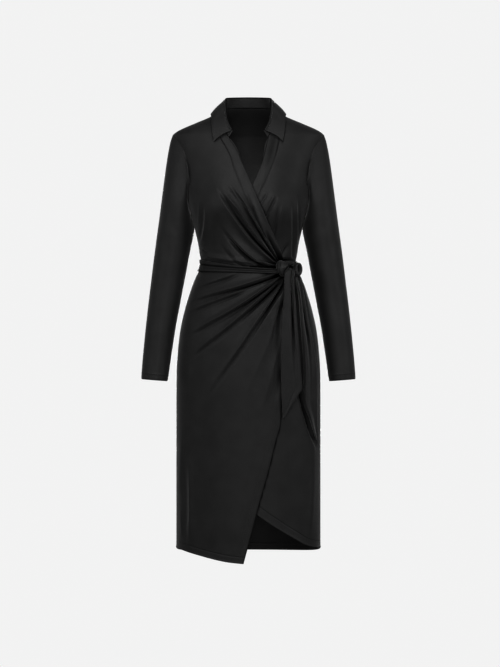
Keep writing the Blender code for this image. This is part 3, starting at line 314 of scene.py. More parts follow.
UNDER_FOLDS = (
    (14.1, -228.9, 35.1, -193.1, 49.9, -169.6,  2.4, 2.6, 2.6),
    (26.5, -258.5, 52.4, -201.7, 65.9, -177,  3, 2.8, 2.8, 4, -5.8, 3.8),
    (58.5, -317.7, 72.8, -253.5, 85.7, -189.4,  3, 2.8, 4, 3.4, 5.8, 3.8),
    (103.7, -342.3, 105.4, -268.3, 102.9, -179.5,  2.4, 6, 3.4, 3, -6, 3.6),
    (120.2, -312.7, 120.2, -243.7, 117.2, -169.6,  2.6, 3, 3, 2.4, -5.4, 3),
    (24, -177, 33.9, -135.1, 58.5, -46.3,  1.4, 2.4, 4.5),
    (75.8, -349.8, 86.9, -321.4, 100.5, -293,  0, 3, 3, 6, 0, 4),
    (74, -339.5, 93.1, -336.9, 116, -336.9,  0, 3, 3, 11, 0, 3.6),
)
UNDER_SKIRT_FOLDS = (
    (112, -378, 125, -420, 138, -470,  3, 4, 4, 3, 7, 4),
    (127, -380, 141, -425, 152, -490,  2.5, 5, 4),
    (165, -540, 162, -720, 158, -900,  5.0, 9, 14),
    (150, -1040, 157, -930, 161, -800,  4.5, 9, 9),
    (110, -600, 146, -731, 170, -812,  0, 3, 3, 12, 0, 4.5),
    (90, -760, 96, -840, 90, -930,  1.4, 18, 18),
)
OVER_SKIRT_LOW_FOLDS = (
    (-152, -700, -150, -640, -146, -570,  1.4, 8, 8),
    (-149, -1070, -143, -940, -150, -800,  4.5, 5, 8, 3.0, 14, 7),
    (-172, -940, -167, -850, -166, -740,  2.8, 8, 7),
    (-158, -1050, -166, -1000, -168, -940,  1.8, 4, 4),
    (-60, -1060, -20, -980, 20, -880,  2.0, 22, 22),
    (-110, -1050, -70, -960, -30, -850,  1.6, 22, 22),
)
BACK_BODICE_FOLDS = (
    (-80, -335, -84, -305, -90, -262,  2.6, 4, 4, 1.6, 8, 5),
    (-52, -336, -50, -300, -58, -252,  2.2, 5, 5, 1.4, -9, 5),
    (-20, -337, -24, -310, -22, -270,  1.8, 5, 5),
    (14, -337, 12, -305, 20, -258,  2.4, 4.5, 5, 1.5, 8, 5),
    (48, -336, 53, -302, 50, -256,  2.2, 5, 5),
    (82, -335, 84, -300, 92, -258,  2.6, 4, 4, 1.8, -8, 5),
    (-126, -300, -119, -262, -112, -205,  2.6, 3.5, 4, 2, 7, 4),
    (126, -300, 120, -258, 110, -200,  2.4, 3.5, 4, 2, -7, 4),
)
BACK_SKIRT_FOLDS = (
    (-88, -366, -94, -410, -104, -470,  2.4, 5, 5, 1.6, 9, 5),
    (-58, -366, -60, -400, -66, -446,  2.2, 5, 5, 1.4, 9, 5),
    (-22, -366, -24, -404, -22, -455,  2.0, 5, 5),
    (16, -366, 18, -398, 22, -440,  2.2, 5, 5, 1.4, -9, 5),
    (52, -366, 58, -412, 62, -470,  2.4, 5, 5),
    (86, -366, 95, -405, 106, -462,  2.6, 5, 5, 1.6, -9, 5),
    (-120, -1050, -112, -960, -98, -840,  2.0, 14, 14),
    (10, -1060, 4, -980, 12, -870,  1.6, 16, 16),
    (118, -1050, 110, -950, 104, -830,  2.0, 14, 14),
)
# On a sleeve, x is the way round from the top seam toward the front and z is the way down from the armhole
SLEEVE_FOLDS = (
    (62, -30, 70, -120, 74, -210,  1.4, 12, 16, 1.4, 24, 14),
    (46, -236, 66, -268, 90, -286,  0.8, 14, 12, 0.8, -20, 12),
    (36, -300, 58, -326, 92, -344,  0.7, 14, 12, 0.6, -20, 12),
    (95, -90, 112, -120, 128, -170,  1.2, 10, 10, 0.8, 15, 10),
    (150, -60, 172, -130, 180, -200,  1.4, 12, 12),
    (200, -260, 225, -290, 250, -300,  0.9, 12, 12),
)
ARM_FOLD_COLUMNS = ("turn", "depth")          # the hollow beside the armhole seam, by degrees from the top
ARM_FOLD = ((0, 0.0), (55, 0.0), (85, 0.0050), (112, 0.0110), (138, 0.0140), (158, 0.0100), (180, 0.0040),
            (200, 0.0060), (225, 0.0100), (255, 0.0080), (290, 0.0030), (320, 0.0), (360, 0.0))
ARM_FOLD_REACH = 0.0090                       # it is deepest this far from the seam
ARM_SHADE = 0.85                              # shade at its deepest
ARM_SHADE_TURNS = (78, 165)                   # its inner side is shaded from the first to the second
ARM_SHADE_AT = (0.09, 0.12)                   # how far down the sleeve, and half length
GATHER_RAISE = 0.0140      # how far the gathers lift the cloth near the knot
GATHER_REACH = 0.170
FOLD_PINCH = 0.22          # the share of their width that crests keep right at the knot
FULL_GROOVE = 0.0110       # a groove this deep is in full shade
FAR_SHADE = (0.85, 0.30)   # share of the shade in the bodice's and the skirt's grooves away from the knot
SASH_SHADE_REACH = 0.0026
TAIL_SHADE = (-0.622, 0.030, 0.0100)    # beside the front tail: its height, half length and half width
EDGE_SHADE_REACH = 0.0019
EDGE_LINE = 0.0011         # half width of the painted dark line along an edge that rolls under and of a stitch line's painted shade
SHOULDER_SHADE_REACH = 0.0130
V_ROLL = (0.0080, 0.0042)  # painted shade where the under front's V edge rolls out: distance from it and half width
LEAST_LIFT = 0.0019        # the over front's face stays this far off the under front's
LIFT_BLEND = 0.0015
RIDGE_STEPS = 28           # pieces of a crest line

# Tail across its width: height of the cloth over its flat strip, at the top and at the lower end
TAIL_SHAPE_COLUMNS = ("across", "top", "low")
FRONT_TAIL_SHAPE = (
    (0.00, -0.0002, 0.0002), (0.05, 0.0016, 0.0012), (0.22, 0.0022, 0.0011), (0.40, 0.0021, 0.0007),
    (0.55, 0.0014, 0.0005), (0.65, -0.0095, -0.0002), (0.69, -0.0095, 0.0001), (0.80, 0.0004, 0.0009),
    (0.90, 0.0004, 0.0012), (1.00, -0.0075, 0.0002),
)
SIDE_TAIL_SHAPE = (
    (0.00, -0.0080, -0.0030), (0.10, 0.0010, 0.0030), (0.20, 0.0050, 0.0080), (0.34, 0.0040, 0.0050),
    (0.50, -0.0080, 0.0008), (0.58, -0.0080, 0.0002), (0.76, -0.0002, 0.0010), (0.94, 0.0012, 0.0024),
    (1.00, -0.0010, 0.0004),
)
TAIL_FOLD_END = 0.30       # the folds of a tail open out this far below the knot
TAIL_FULL_GROOVE = 0.0055  # a fold of a tail this deep is in full shade
TAIL_TUCK = 0.010          # length at the top that turns back into the knot
TAIL_TIP_WIDTHS = (0.040, 0.010)    # below this width the front or the side tail flattens toward its tip

# The strip that crosses the top of the knot: points seen from the front at the middle plane (x, z), with y
KNOT_STRIP = ((0.0850, -0.3460, -0.1130), (0.0905, -0.3425, -0.1190), (0.0985, -0.3412, -0.1165),
              (0.1075, -0.3418, -0.1090), (0.1145, -0.3450, -0.0985))

STRIP_WIDTHS = (0.005, 0.0042, 0.0040, 0.0040, 0.0055)
STRIP_THICKNESSES = (0.0036, 0.0034, 0.003)
STRIP_RADIUS = 0.006       # of its section, on the average, for the map of the knit
PLEAT_DEPTH = 0.0009

# Stitches
STITCH_PITCH = 0.0034
STITCH_LENGTH = 0.0022
STITCH_RADIUS = 0.00022
STITCH_ROWS = (-0.0016, 0.0016)
STITCH_SIDES = 4
STITCH_SHADE = 0.28        # shade of the sunk line that the stitches lie in

RIM_ANGLES = np.radians((12, 45, 90))    # places of the points round a free rim

# Camera and studio
VIEW_CENTRE = (0.004, -0.519)
VIEW_DISTANCE = 8.0
VIEW_HEIGHT = 1.6675
SENSOR = 36.0
FILM_GAMMA = 0.75          # a little more contrast than the eye's
FLOOR_HEIGHT = -1.60
FLOOR_RADIUS = 2.2
# Each light's place, the height it looks at, its size and its share of the key power
LIGHTS = {
    "key_light": ((-0.2, -3.0, 1.4), -0.35, (1.1, 1.1), 0.36),
    "left_light": ((-3.3, -2.2, 0.5), -0.5, (1.2, 1.2), 0.18),
    "right_light": ((3.3, -2.2, 0.5), -0.5, (1.2, 1.2), 0.26),
    "low_light": ((0.3, -3.8, -1.1), -0.9, (1.2, 0.8), 0.105),
    "back_light": ((0.0, 4.1, -0.2), -0.45, (1.6, 1.6), 0.55),
    "top_light": ((0.0, -0.8, 2.3), -0.3, (1.6, 1.0), 0.06),
    "left_rim_light": ((-2.4, 0.2, 0.2), -0.5, (0.9, 2.2), 0.02),
    "right_rim_light": ((2.4, 0.2, 0.2), -0.5, (0.9, 2.2), 0.02),
}


# ---------------------------------------------------------------- small helpers

def column(rows, names, name):
    """One named column of a table, as an array."""
    return np.array([row[names.index(name)] for row in rows], dtype=float)


def curve(at, knots, values):
    """A smooth curve through a table's points that never overshoots them (monotone cubic)."""
    order = np.argsort(knots)
    knots = np.asarray(knots, dtype=float)[order]
    values = np.asarray(values, dtype=float)[order]
    step = np.diff(knots)
    rise = np.diff(values) / step
    slope = np.empty(len(knots))
    slope[0] = rise[0]
    slope[-1] = rise[-1]
    before, after = rise[:-1], rise[1:]
    same_way = before * after > 0
    slope[1:-1] = np.where(same_way, 2 * before * after / np.where(same_way, before + after, 1), 0)
    at = np.clip(np.asarray(at, dtype=float), knots[0], knots[-1])
    k = np.clip(np.searchsorted(knots, at) - 1, 0, len(step) - 1)
    t = (at - knots[k]) / step[k]
    keep = 2 * t**3 - 3 * t**2 + 1
    start = keep * values[k] + (t**3 - 2 * t**2 + t) * step[k] * slope[k]
    stop = (1 - keep) * values[k + 1] + (t**3 - t**2) * step[k] * slope[k + 1]
    return start + stop


def table_curve(at, rows, names, knot, value):
    """The smooth curve of one column of a table over another."""
    return curve(at, column(rows, names, knot), column(rows, names, value))


def ease(t):
    """0 below 0, 1 above 1, and smooth between."""
    t = np.clip(t, 0.0, 1.0)
    return t * t * (3 - 2 * t)


def bell(t):
    """1 at 0 and falling away on both sides: exp(-t squared)."""
    return np.exp(-(t**2))


def unit(ways):
    """Directions of length 1."""
    return ways / np.linalg.norm(ways, axis=-1, keepdims=True)


def walked_along(line):
    """Distance along a line of points from its first one."""
    return np.concatenate([[0], np.cumsum(np.linalg.norm(np.diff(line, axis=0), axis=-1))])


def crossed(across, down):
    """A grid of pairs from values across (a row) and down (a column)."""
    return np.stack(np.broadcast_arrays(across, down), axis=-1)


def half_width(z):
    """The figure's half width at height z."""
    return table_curve(z, FIGURE, FIGURE_COLUMNS, "height", "half_width")


def depth(z, side):
    """How far the figure's front or back stands out at height z."""
    return table_curve(z, FIGURE, FIGURE_COLUMNS, "height", side)


def angle_of(share):
    """Angle from the centre line of the point whose x is this share of the half width."""
    share = np.clip(share, -1.0, 1.0)
    inward = (1 - np.abs(share) ** ROUNDNESS) ** (1 / ROUNDNESS)
    return np.arctan2(share, inward)


def figure(angle, z):
    """Point of the figure: angle in radians, 0 at the centre front and growing toward +X."""
    across, along = np.sin(angle), np.cos(angle)
    size = (np.abs(across) ** ROUNDNESS + np.abs(along) ** ROUNDNESS) ** (-1 / ROUNDNESS)
    x = half_width(z) * size * across
    y = -np.where(along >= 0, depth(z, "front"), depth(z, "back")) * size * along
    off_x = (np.abs(x) - CUP_CENTRE[0]) / CUP_SPREAD[0]
    off_z = (z - CUP_CENTRE[1]) / CUP_SPREAD[1]
    y = y - CUP_REACH * np.exp(-off_x**2 - off_z**2) * ease(along / 0.6)
    return np.stack([x, y, z + 0 * x], axis=-1)


def normal(angle, z):
    """Outward direction of the figure there, from its slopes round and up."""
    da, dz = 0.004, 0.0006
    round_it = figure(angle + da, z) - figure(angle - da, z)
    up_it = figure(angle, z + dz) - figure(angle, z - dz)
    return unit(np.cross(round_it, up_it))


def to_angle(w, z, back=False):
    """The chart (w, z) to an angle round the figure. On the back, w grows toward +X too."""
    turn = 0.5 * np.pi * w / half_width(z)
    return np.pi - turn if back else turn


def to_w(x, z):
    """The chart's w for a point at x on the front or the back."""
    return half_width(z) * angle_of(x / half_width(z)) / (0.5 * np.pi)


def waist_height(angle):
    """Height of the waist seam at an angle in radians."""
    degrees = (np.degrees(angle) + 180) % 360 - 180
    return table_curve(degrees, WAIST, WAIST_COLUMNS, "angle", "height")


def lift_from(points):
    """Distance of points off the figure, with the figure's point and outward direction there."""
    z = np.clip(points[..., 2], FIGURE[-1][0], BACK_NECK_HEIGHT)
    share = points[..., 0] / half_width(z)
    side = np.where(points[..., 1] <= 0, depth(z, "front"), depth(z, "back"))
    angle = np.arctan2(share, -points[..., 1] / side)
    place, out = figure(angle, z), normal(angle, z)
    return np.sum((points - place) * out, axis=-1), out


def push_out(points, clearance):
    """Move points along the figure's outward direction until they are this far off it."""
    for _ in range(3):
        lift, out = lift_from(points)
        short = np.maximum(clearance - lift, 0.0)
        points = points + short[..., None] * out
    return points


# ---------------------------------------------------------------- pattern edges in the chart (w, z)

def patch(bottom, top, left, right):
    """Points inside four edges (Coons): the edges are functions of 0..1 that meet at the corners."""
    def at(u, v):
        u, v = u[None, :, None], v[:, None, None]
        low, high = bottom(u[0, :, 0])[None], top(u[0, :, 0])[None]
        start, stop = left(v[:, 0, 0])[:, None], right(v[:, 0, 0])[:, None]
        corners = ((1 - u) * (1 - v) * low[:, :1] + u * (1 - v) * low[:, -1:]
                   + (1 - u) * v * high[:, :1] + u * v * high[:, -1:])
        return (1 - v) * low + v * high + (1 - u) * start + u * stop - corners
    return at


def chain(*parts):
    """Join edges end to end: parts are (share of 0..1, points) and each stretch keeps its share."""
    shares = np.cumsum([0.0] + [share for share, _ in parts])
    shares = shares / shares[-1]

    def at(t):
        out = np.zeros((len(t), 2))
        for k, (_, points) in enumerate(parts):
            inside = (t >= shares[k] - 1e-12) & (t <= shares[k + 1] + 1e-12)
            local = np.clip((t[inside] - shares[k]) / (shares[k + 1] - shares[k]), 0, 1)
            out[inside] = points(local)
        return out
    return at


def stations(*runs):
    """Places from 0 to 1 in runs: each run is (its end, its number of steps)."""
    marks = [0.0]
    for end, count in runs:
        marks.extend(np.linspace(marks[-1], end, count + 1)[1:])
    return np.array(marks)


def seam_width(z):
    """The half width in the chart, less half a seam gap."""
    around = 0.5 * np.pi * depth(z, "front")
    return half_width(z) * (1 - 0.5 * SEAM_GAP / around)


def side_line(z, sign):
    """Points of the side line at heights z."""
    return np.stack([sign * seam_width(z), z], axis=-1)


def side_seam(t, low, sign):
    """Up the side seam from height low to the armpit, in finer steps near the waist."""
    return side_line(low + (ARMPIT_HEIGHT - low) * t**1.35, sign)


def armhole(t, sign, back=False):
    """Up the armhole from the armpit to the shoulder point."""
    turn = np.pi * (1 - t)
    middle = 0.5 * (SHOULDER_POINT[1] + ARMPIT_HEIGHT)
    z = middle + 0.5 * (SHOULDER_POINT[1] - ARMPIT_HEIGHT) * np.cos(turn)
    narrow = ARMHOLE_TOP + (ARMHOLE_FOOT - ARMHOLE_TOP) * (1 - t)
    scoop = (ARMHOLE_BACK if back else ARMHOLE_FRONT) * np.sin(turn) ** narrow
    y = scoop / depth(z, "back" if back else "front")
    share = (1 - y ** ROUNDNESS) ** (1 / ROUNDNESS)
    w = half_width(z) * np.arctan2(share, y) / (0.5 * np.pi)
    return np.stack([sign * np.minimum(w, seam_width(z)), z], axis=-1)


def shoulder(t, sign):
    """Along the shoulder seam from the shoulder point to the neck point."""
    return side_line(SHOULDER_POINT[1] + (NECK_POINT[1] - SHOULDER_POINT[1]) * t, sign)


def front_neckline(t, sign):
    """Down the front neckline from the neck point to the top of the V edge."""
    z = NECK_POINT[1] + (FRONT_NECKLINE[-1][0] - NECK_POINT[1]) * t
    x = table_curve(z, FRONT_NECKLINE, NECKLINE_COLUMNS, "height", "half_width")
    return np.stack([sign * np.minimum(to_w(x, z), seam_width(z)), z], axis=-1)


def back_neckline(t):
    """Across the back neckline from -X to +X."""
    across = 2 * t - 1
    z = NECK_POINT[1] + (BACK_NECK_HEIGHT - NECK_POINT[1]) * (1 - across**2)
    return np.stack([across * seam_width(z), z], axis=-1)


def either_side(on_back, front, back):
    """Angle and height of chart points, taken from the back's where on_back is true."""
    angle = np.where(on_back, to_angle(back[:, 0], back[:, 1], True), to_angle(front[:, 0], front[:, 1]))
    return angle, np.where(on_back, back[:, 1], front[:, 1])


def wrap_edge(rows, start=None):
    """A wrap edge as points of the chart, evenly by length, with a first point added."""
    rows = ((start,) if start else ()) + tuple(rows)
    x = column(rows, WRAP_EDGE_COLUMNS, "x")
    z = column(rows, WRAP_EDGE_COLUMNS, "height")
    run = walked_along(np.stack([x, z], axis=-1))
    run = run / run[-1]

    def at(t):
        height = curve(t, run, z)
        return np.stack([to_w(curve(t, run, x), height), height], axis=-1)
    return at


def waist(t, w_from, w_to, back=False, shift=0.0):
    """Along the waist seam between two places of the chart, shifted up or down by shift."""
    w = w_from + (w_to - w_from) * t
    z = waist_height(to_angle(w, -0.35 + 0 * w, back)) + shift
    return np.stack([w, z], axis=-1)


def front_x(chart):
    """x of the front's chart points."""
    return figure(to_angle(chart[..., 0], chart[..., 1]), chart[..., 1])[..., 0]


def flat_view(chart):
    """Chart points as (x, z) of the front view."""
    return np.stack([front_x(chart), chart[..., 1]], axis=-1)


def under_edge_start(shift):
    """Where the under front's free edge meets the waist seam."""
    z = HUB[1]
    for _ in range(4):
        z = waist_height(angle_of(UNDER_EDGE_AT_WAIST / half_width(z))) + shift
    return UNDER_EDGE_AT_WAIST, float(z)


def back_hem(w, z):
    """Height of the back hem: level at the sides and dipping a little at the back."""
    share = w / half_width(z)
    return BACK_HEM_SIDE + (BACK_HEM_CENTRE - BACK_HEM_SIDE) * (1 - share**4)


# ---------------------------------------------------------------- ridges and hems

def ridges(x, z, rows, hub=None):
    """Height of folds at points (x, z) in metres."""
    crests, deepest = ridge_parts(x, z, rows, hub)
    return crests - deepest


def fold_shade(x, z, rows, hub=None, far=1.0):
    """Painted shade in the folds, 0 to 1: the deeper in a fold a point lies, the darker its colour is
    painted.

    It is the square of the groove's depth over FULL_GROOVE, less where a crest stands; near the hub it is all
    but the crests, and away from it the share that is left is far.
    """
    crests, deepest = ridge_parts(x, z, rows, hub)
    shade = np.clip(deepest / FULL_GROOVE, 0, 1) ** 2
    if hub is not None:
        reach = np.hypot(x - hub[0], z - hub[1])
        shade = shade * (1 - (1 - far) * ease((reach - 0.05) / 0.15))
        shade = np.maximum(shade, 1 - ease((reach - 0.020) / 0.045))
    return shade * (1 - ease((crests - 0.001) / 0.0045))


def darkest(*shades):
    """The deepest of several shades at each point."""
    return np.max(np.broadcast_arrays(*shades), axis=0)


def sash_lines(degrees):
    """Middle height and half height of the sash at angles in degrees."""
    return [table_curve(degrees, SASH, SASH_COLUMNS, "angle", name) for name in ("height", "half_height")]


def sash_at(w, z, back=False):
    """The same at chart points."""
    first = SASH[0][0]
    return sash_lines((np.degrees(to_angle(w, z, back)) - first) % 360 + first)


def sash_shade(w, z, back=False):
    """Painted shade close above and below the sash."""
    middle, half = sash_at(w, z, back)
    return 1 - ease((np.abs(z - middle) - half) / SASH_SHADE_REACH)


def edge_shade(x, z, rows):
    """Painted shadow close beside a free edge that lies over the cloth."""
    edge_x = table_curve(z, rows, WRAP_EDGE_COLUMNS, "height", "x")
    return bell((x - edge_x) / EDGE_SHADE_REACH) * ((z < rows[0][1]) & (z > rows[-1][1]))


def shoulder_shade(w, z):
    """Painted shade along the shoulder seam, which also dims the grazing highlight there."""
    around = (1 - np.abs(w) / half_width(z)) * 0.5 * np.pi * depth(z, "front")
    return 0.8 * bell(around / SHOULDER_SHADE_REACH) * ease((z - SHOULDER_POINT[1]) / 0.004)


def tail_shade(x, z):
    """Painted shadow on the skirt along the left edge of the front tail, where the tail stands off it."""
    middle, half, reach = TAIL_SHADE
    edge_x = table_curve(z, FRONT_TAIL, TAIL_COLUMNS, "height", "left")
    return 0.9 * bell((x - edge_x) / reach) * bell((z - middle) / half)


def collar_shade(x, z):
    """Painted shadow beside the collar's outer edge and below its front edge, which lie over the shoulders.
    """
    edge_x, edge_z = (column(COLLAR[:2:-1], COLLAR_COLUMNS, name) for name in ("edge_x", "edge_z"))
    roll_x, roll_z = COLLAR[-1][1], COLLAR[-1][3]
    x = np.abs(x)
    beside = x - np.interp(z, edge_z, edge_x)
    outer = bell((beside - 0.0008) / 0.0022) * ((z > edge_z[0]) & (z < edge_z[-1]))
    along = (x - roll_x) / (edge_x[0] - roll_x)
    below = roll_z + (edge_z[0] - roll_z) * along - z
    front = bell((below - 0.0010) / 0.0028) * ((along > 0) & (along < 1)) * (1 - 0.5 * along)
    return np.maximum(0.5 * outer, 0.9 * front)


def band_shade(gap, z):
    """Painted shade along the sunk line of a neck edge's band, deeper toward the top of the V where the
    facing rolls out.
    """
    return (STITCH_SHADE + 0.45 * ease((z + 0.10) / 0.05)) * stitch_shade(gap)


def stitch_shade(gap):
    """Painted shade along the sunk line of a hem's or a band's stitches."""
    return bell((gap - HEM_STITCH) / EDGE_LINE)


def ridge_parts(x, z, rows, hub=None):
    """Crests and deepest groove at points (x, z): each fold is a quadratic crest line through three points.

    With d the distance from the line, plus on its left, a crest adds crest * exp(-|d / side|^1.5) with its
    own width on each side, and the deepest groove * exp(-((d - groove_at) / groove_wide)^2) is taken off.
    Both rise over the first tenth of the line, or its first third away from the knot, and die away over its
    last third, and near the hub the crests are narrower.
    """
    crests, deepest = np.zeros_like(x), np.zeros_like(x)
    away = np.ones_like(x)
    if hub is not None:
        away = ease(np.hypot(x - hub[0], z - hub[1]) / 0.15)
    along = np.linspace(0, 1, RIDGE_STEPS + 1)
    for row in rows:
        row = row if len(row) == len(RIDGE_COLUMNS) else row + NO_GROOVE
        part = dict(zip(RIDGE_COLUMNS, np.array(row) / 1000))
        first = np.array([part["x0"], part["z0"]])
        middle = np.array([part["x1"], part["z1"]])
        last = np.array([part["x2"], part["z2"]])
        bend = 2 * middle - 0.5 * (first + last)
        t = along[:, None]
        line = (1 - t) ** 2 * first + 2 * t * (1 - t) * bend + t**2 * last
        reach_out = 4 * max(part["left"], part["right"], part["groove_wide"] + abs(part["groove_at"]))
        low, high = line.min(axis=0) - reach_out, line.max(axis=0) + reach_out
        near = (x > low[0]) & (x < high[0]) & (z > low[1]) & (z < high[1])
        if not near.any():
            continue
        crest, groove = ridge_at(x[near], z[near], line, part, away[near])
        crests[near] += crest
        deepest[near] = np.maximum(deepest[near], groove)
    return crests, deepest


def ridge_at(x, z, line, part, open_share):
    """One ridge at flat arrays of points: nearest piece of the crest line, then the crest's profile."""
    start, step = line[:-1], np.diff(line, axis=0)
    length = np.sum(step**2, axis=1)
    dx, dz = x[:, None] - start[:, 0], z[:, None] - start[:, 1]
    share = np.clip((dx * step[:, 0] + dz * step[:, 1]) / length, 0, 1)
    away = np.hypot(dx - share * step[:, 0], dz - share * step[:, 1])
    nearest = np.argmin(away, axis=1)
    pick = (np.arange(len(x)), nearest)
    side = np.sign(step[nearest, 0] * dz[pick] - step[nearest, 1] * dx[pick])
    d = away[pick] * side
    place = (nearest + share[pick]) / len(step)
    rise = 0.10 if np.hypot(*(line[0] - np.array(HUB))) < 0.03 else 0.35
    fade = ease(place / rise) * (1 - ease((place - 0.62) / 0.38))
    wide = np.where(d > 0, part["left"], part["right"]) * (FOLD_PINCH + (1 - FOLD_PINCH) * open_share)
    crest = part["crest"] * np.exp(-np.abs(d / wide) ** 1.5) * (0.8 + 0.2 * open_share)
    groove = part["groove"] * bell((d - part["groove_at"]) / part["groove_wide"])
    return crest * fade, groove * fade


def hem_relief(gap, bead=EDGE_BEAD):
    """Relief beside a turned edge at a distance from it: the double layer, its stitched line and its rim."""
    body = HEM_THICK * (1 - ease((gap - HEM_STITCH) / 0.0020))
    line = HEM_SINK * bell((gap - HEM_STITCH) / 0.0008)
    return body - line + bead * bell(gap / EDGE_BEAD_WIDTH)


def blouse(w, z, back=False):
    """The soft bulge of the bodice just above the sash: a rounded ridge that dies away at the sides."""
    middle, half = sash_at(w, z, back)
    off = (z - (middle + half) - BLOUSE_AT) / BLOUSE_REACH
    return BLOUSE * bell(off) * ease(np.abs(np.cos(to_angle(w, z, back))) / 0.6)


def over_lift(w, x, z, folds, side_folds):
    """How far the over front stands off the figure: its step over the under front, its gathers and folds."""
    under_edge = UNDER_NECK_EDGE + UNDER_SKIRT_EDGE
    edge_x = table_curve(z, under_edge, WRAP_EDGE_COLUMNS, "height", "x")
    step = OVER_RISE * ease((x - edge_x + OVER_RAMP) / OVER_RAMP)
    reach = np.hypot(x - HUB[0], z - HUB[1])
    gather = GATHER_RAISE * (1 - ease((reach - 0.02) / GATHER_REACH))
    height = (step + gather + ridges(x, z, folds, HUB)) * ease((w + half_width(z)) / SIDE_RAMP)
    side = ridges(x, z, side_folds) * ease((w + half_width(z)) / 0.012)
    if folds is BODICE_FOLDS:
        height = height + blouse(w, z)
    spare = height + side - LEAST_LIFT
    kept = LEAST_LIFT + 0.5 * (spare + np.sqrt(spare**2 + LIFT_BLEND**2))
    covers = step / OVER_RISE
    return (height + side) * (1 - covers) + kept * covers


def banded(grid, gaps, narrow=None):
    """Adds columns at fixed distances from a grid's last column, which is an edge of the cloth.

    Each row keeps its line: its points are moved along it, by the greatest distance at the edge and by
    nothing BAND_SQUEEZE further in, and the new points are put on it at distance / sine of the row's angle
    with the edge. Gives the grid and each point's distance from the edge.
    """
    edge = grid[:, -1]
    across = unit(grid[:, -2] - edge)
    run = unit(np.gradient(edge, axis=0))
    sine = np.maximum(np.abs(across[:, 0] * run[:, 1] - across[:, 1] * run[:, 0]), 0.5)
    scale = (np.ones(len(edge)) if narrow is None else narrow) / sine
    steps = np.linalg.norm(np.diff(grid, axis=1), axis=-1)
    walked = np.concatenate([np.cumsum(steps[:, ::-1], axis=1)[:, ::-1], 0 * steps[:, :1]], axis=1)
    gaps = np.array(gaps)
    squeeze = np.minimum(BAND_SQUEEZE, 0.8 * walked[:, :1])
    moved = walked + (scale * gaps[0])[:, None] * (1 - ease(walked / squeeze))
    target = np.concatenate([moved, scale[:, None] * gaps[None, 1:]], axis=1)
    after = np.sum(walked[:, None, :] > target[:, :, None], axis=-1)
    after = np.clip(after, 1, grid.shape[1] - 1)
    high = np.take_along_axis(walked, after - 1, axis=1)
    low = np.take_along_axis(walked, after, axis=1)
    share = np.clip((high - target) / (high - low), 0, 1)[..., None]
    before_point = np.take_along_axis(grid, (after - 1)[..., None], axis=1)
    after_point = np.take_along_axis(grid, after[..., None], axis=1)
    gap = np.full(moved.shape, 1.0)
    gap[:, -1] = gaps[0]
    gap = np.concatenate([gap, np.repeat(gaps[None, 1:], len(edge), axis=0)], axis=1)
    return before_point + share * (after_point - before_point), gap


def banded_rows(grid, gaps):
    """The same along the last row of a grid."""
    turned, gap = banded(np.swapaxes(grid, 0, 1), gaps)
    return np.swapaxes(turned, 0, 1), gap.T


# ---------------------------------------------------------------- mesh making

def round_rims(face, back, columns):
    """Adds points close to the cloth's free rims, where face and back draw together in a half circle."""
    if columns:
        face, back = rounded_ends(np.swapaxes(face, 0, 1), np.swapaxes(back, 0, 1))
        face, back = np.swapaxes(face, 0, 1), np.swapaxes(back, 0, 1)
    return rounded_ends(face, back)


def rounded_ends(face, back):
    """The half circles at a grid's first and last rows."""
    middle, half = 0.5 * (face + back), 0.5 * (face - back)
    thick = np.linalg.norm(half, axis=-1, keepdims=True)
    parts_mid, parts_half = [middle[1:-1]], [half[1:-1]]
    for at_end in (0, 1):
        edge, inside = (0, 1) if at_end == 0 else (-1, -2)
        way = middle[inside] - middle[edge]
        way = way / np.maximum(np.linalg.norm(way, axis=-1, keepdims=True), 1e-9)
        mids = [middle[edge] + way * thick[edge] * (1 - np.cos(a)) for a in RIM_ANGLES]
        halves = [half[edge] * np.sin(a) for a in RIM_ANGLES]
        if at_end == 0:
            parts_mid.insert(0, np.stack(mids))
            parts_half.insert(0, np.stack(halves))
        else:
            parts_mid.append(np.stack(mids[::-1]))
            parts_half.append(np.stack(halves[::-1]))
    middle, half = np.concatenate(parts_mid), np.concatenate(parts_half)
    return middle + half, middle - half


def rounded_values(values, columns):
    """Repeats a grid's values for the points that round_rims adds."""
    rim = len(RIM_ANGLES)
    values = np.repeat(values, [rim] + [1] * (values.shape[0] - 2) + [rim], axis=0)
    return np.repeat(values, [rim] + [1] * (values.shape[1] - 2) + [rim], axis=1) if columns else values


def quads(index):
    """Four-sided faces over a grid of point numbers."""
    return np.stack([index[:-1, :-1], index[:-1, 1:], index[1:, 1:], index[1:, :-1]], axis=-1).reshape(-1, 4)


def grid_index(rows, columns, closed=True):
    """Numbers of a grid's points, row by row. A closed grid's first column comes again after its last."""
    return np.arange(rows)[:, None] * columns + (np.arange(columns + closed) % columns)[None, :]


def faces_outward(points, faces, inside):
    """Whether faces look away from a place inside them, or each from its own."""
    corner = points[faces]
    out = np.cross(corner[:, 2] - corner[:, 0], corner[:, 3] - corner[:, 1])
    return np.sum(out * (corner.mean(axis=1) - inside)) >= 0


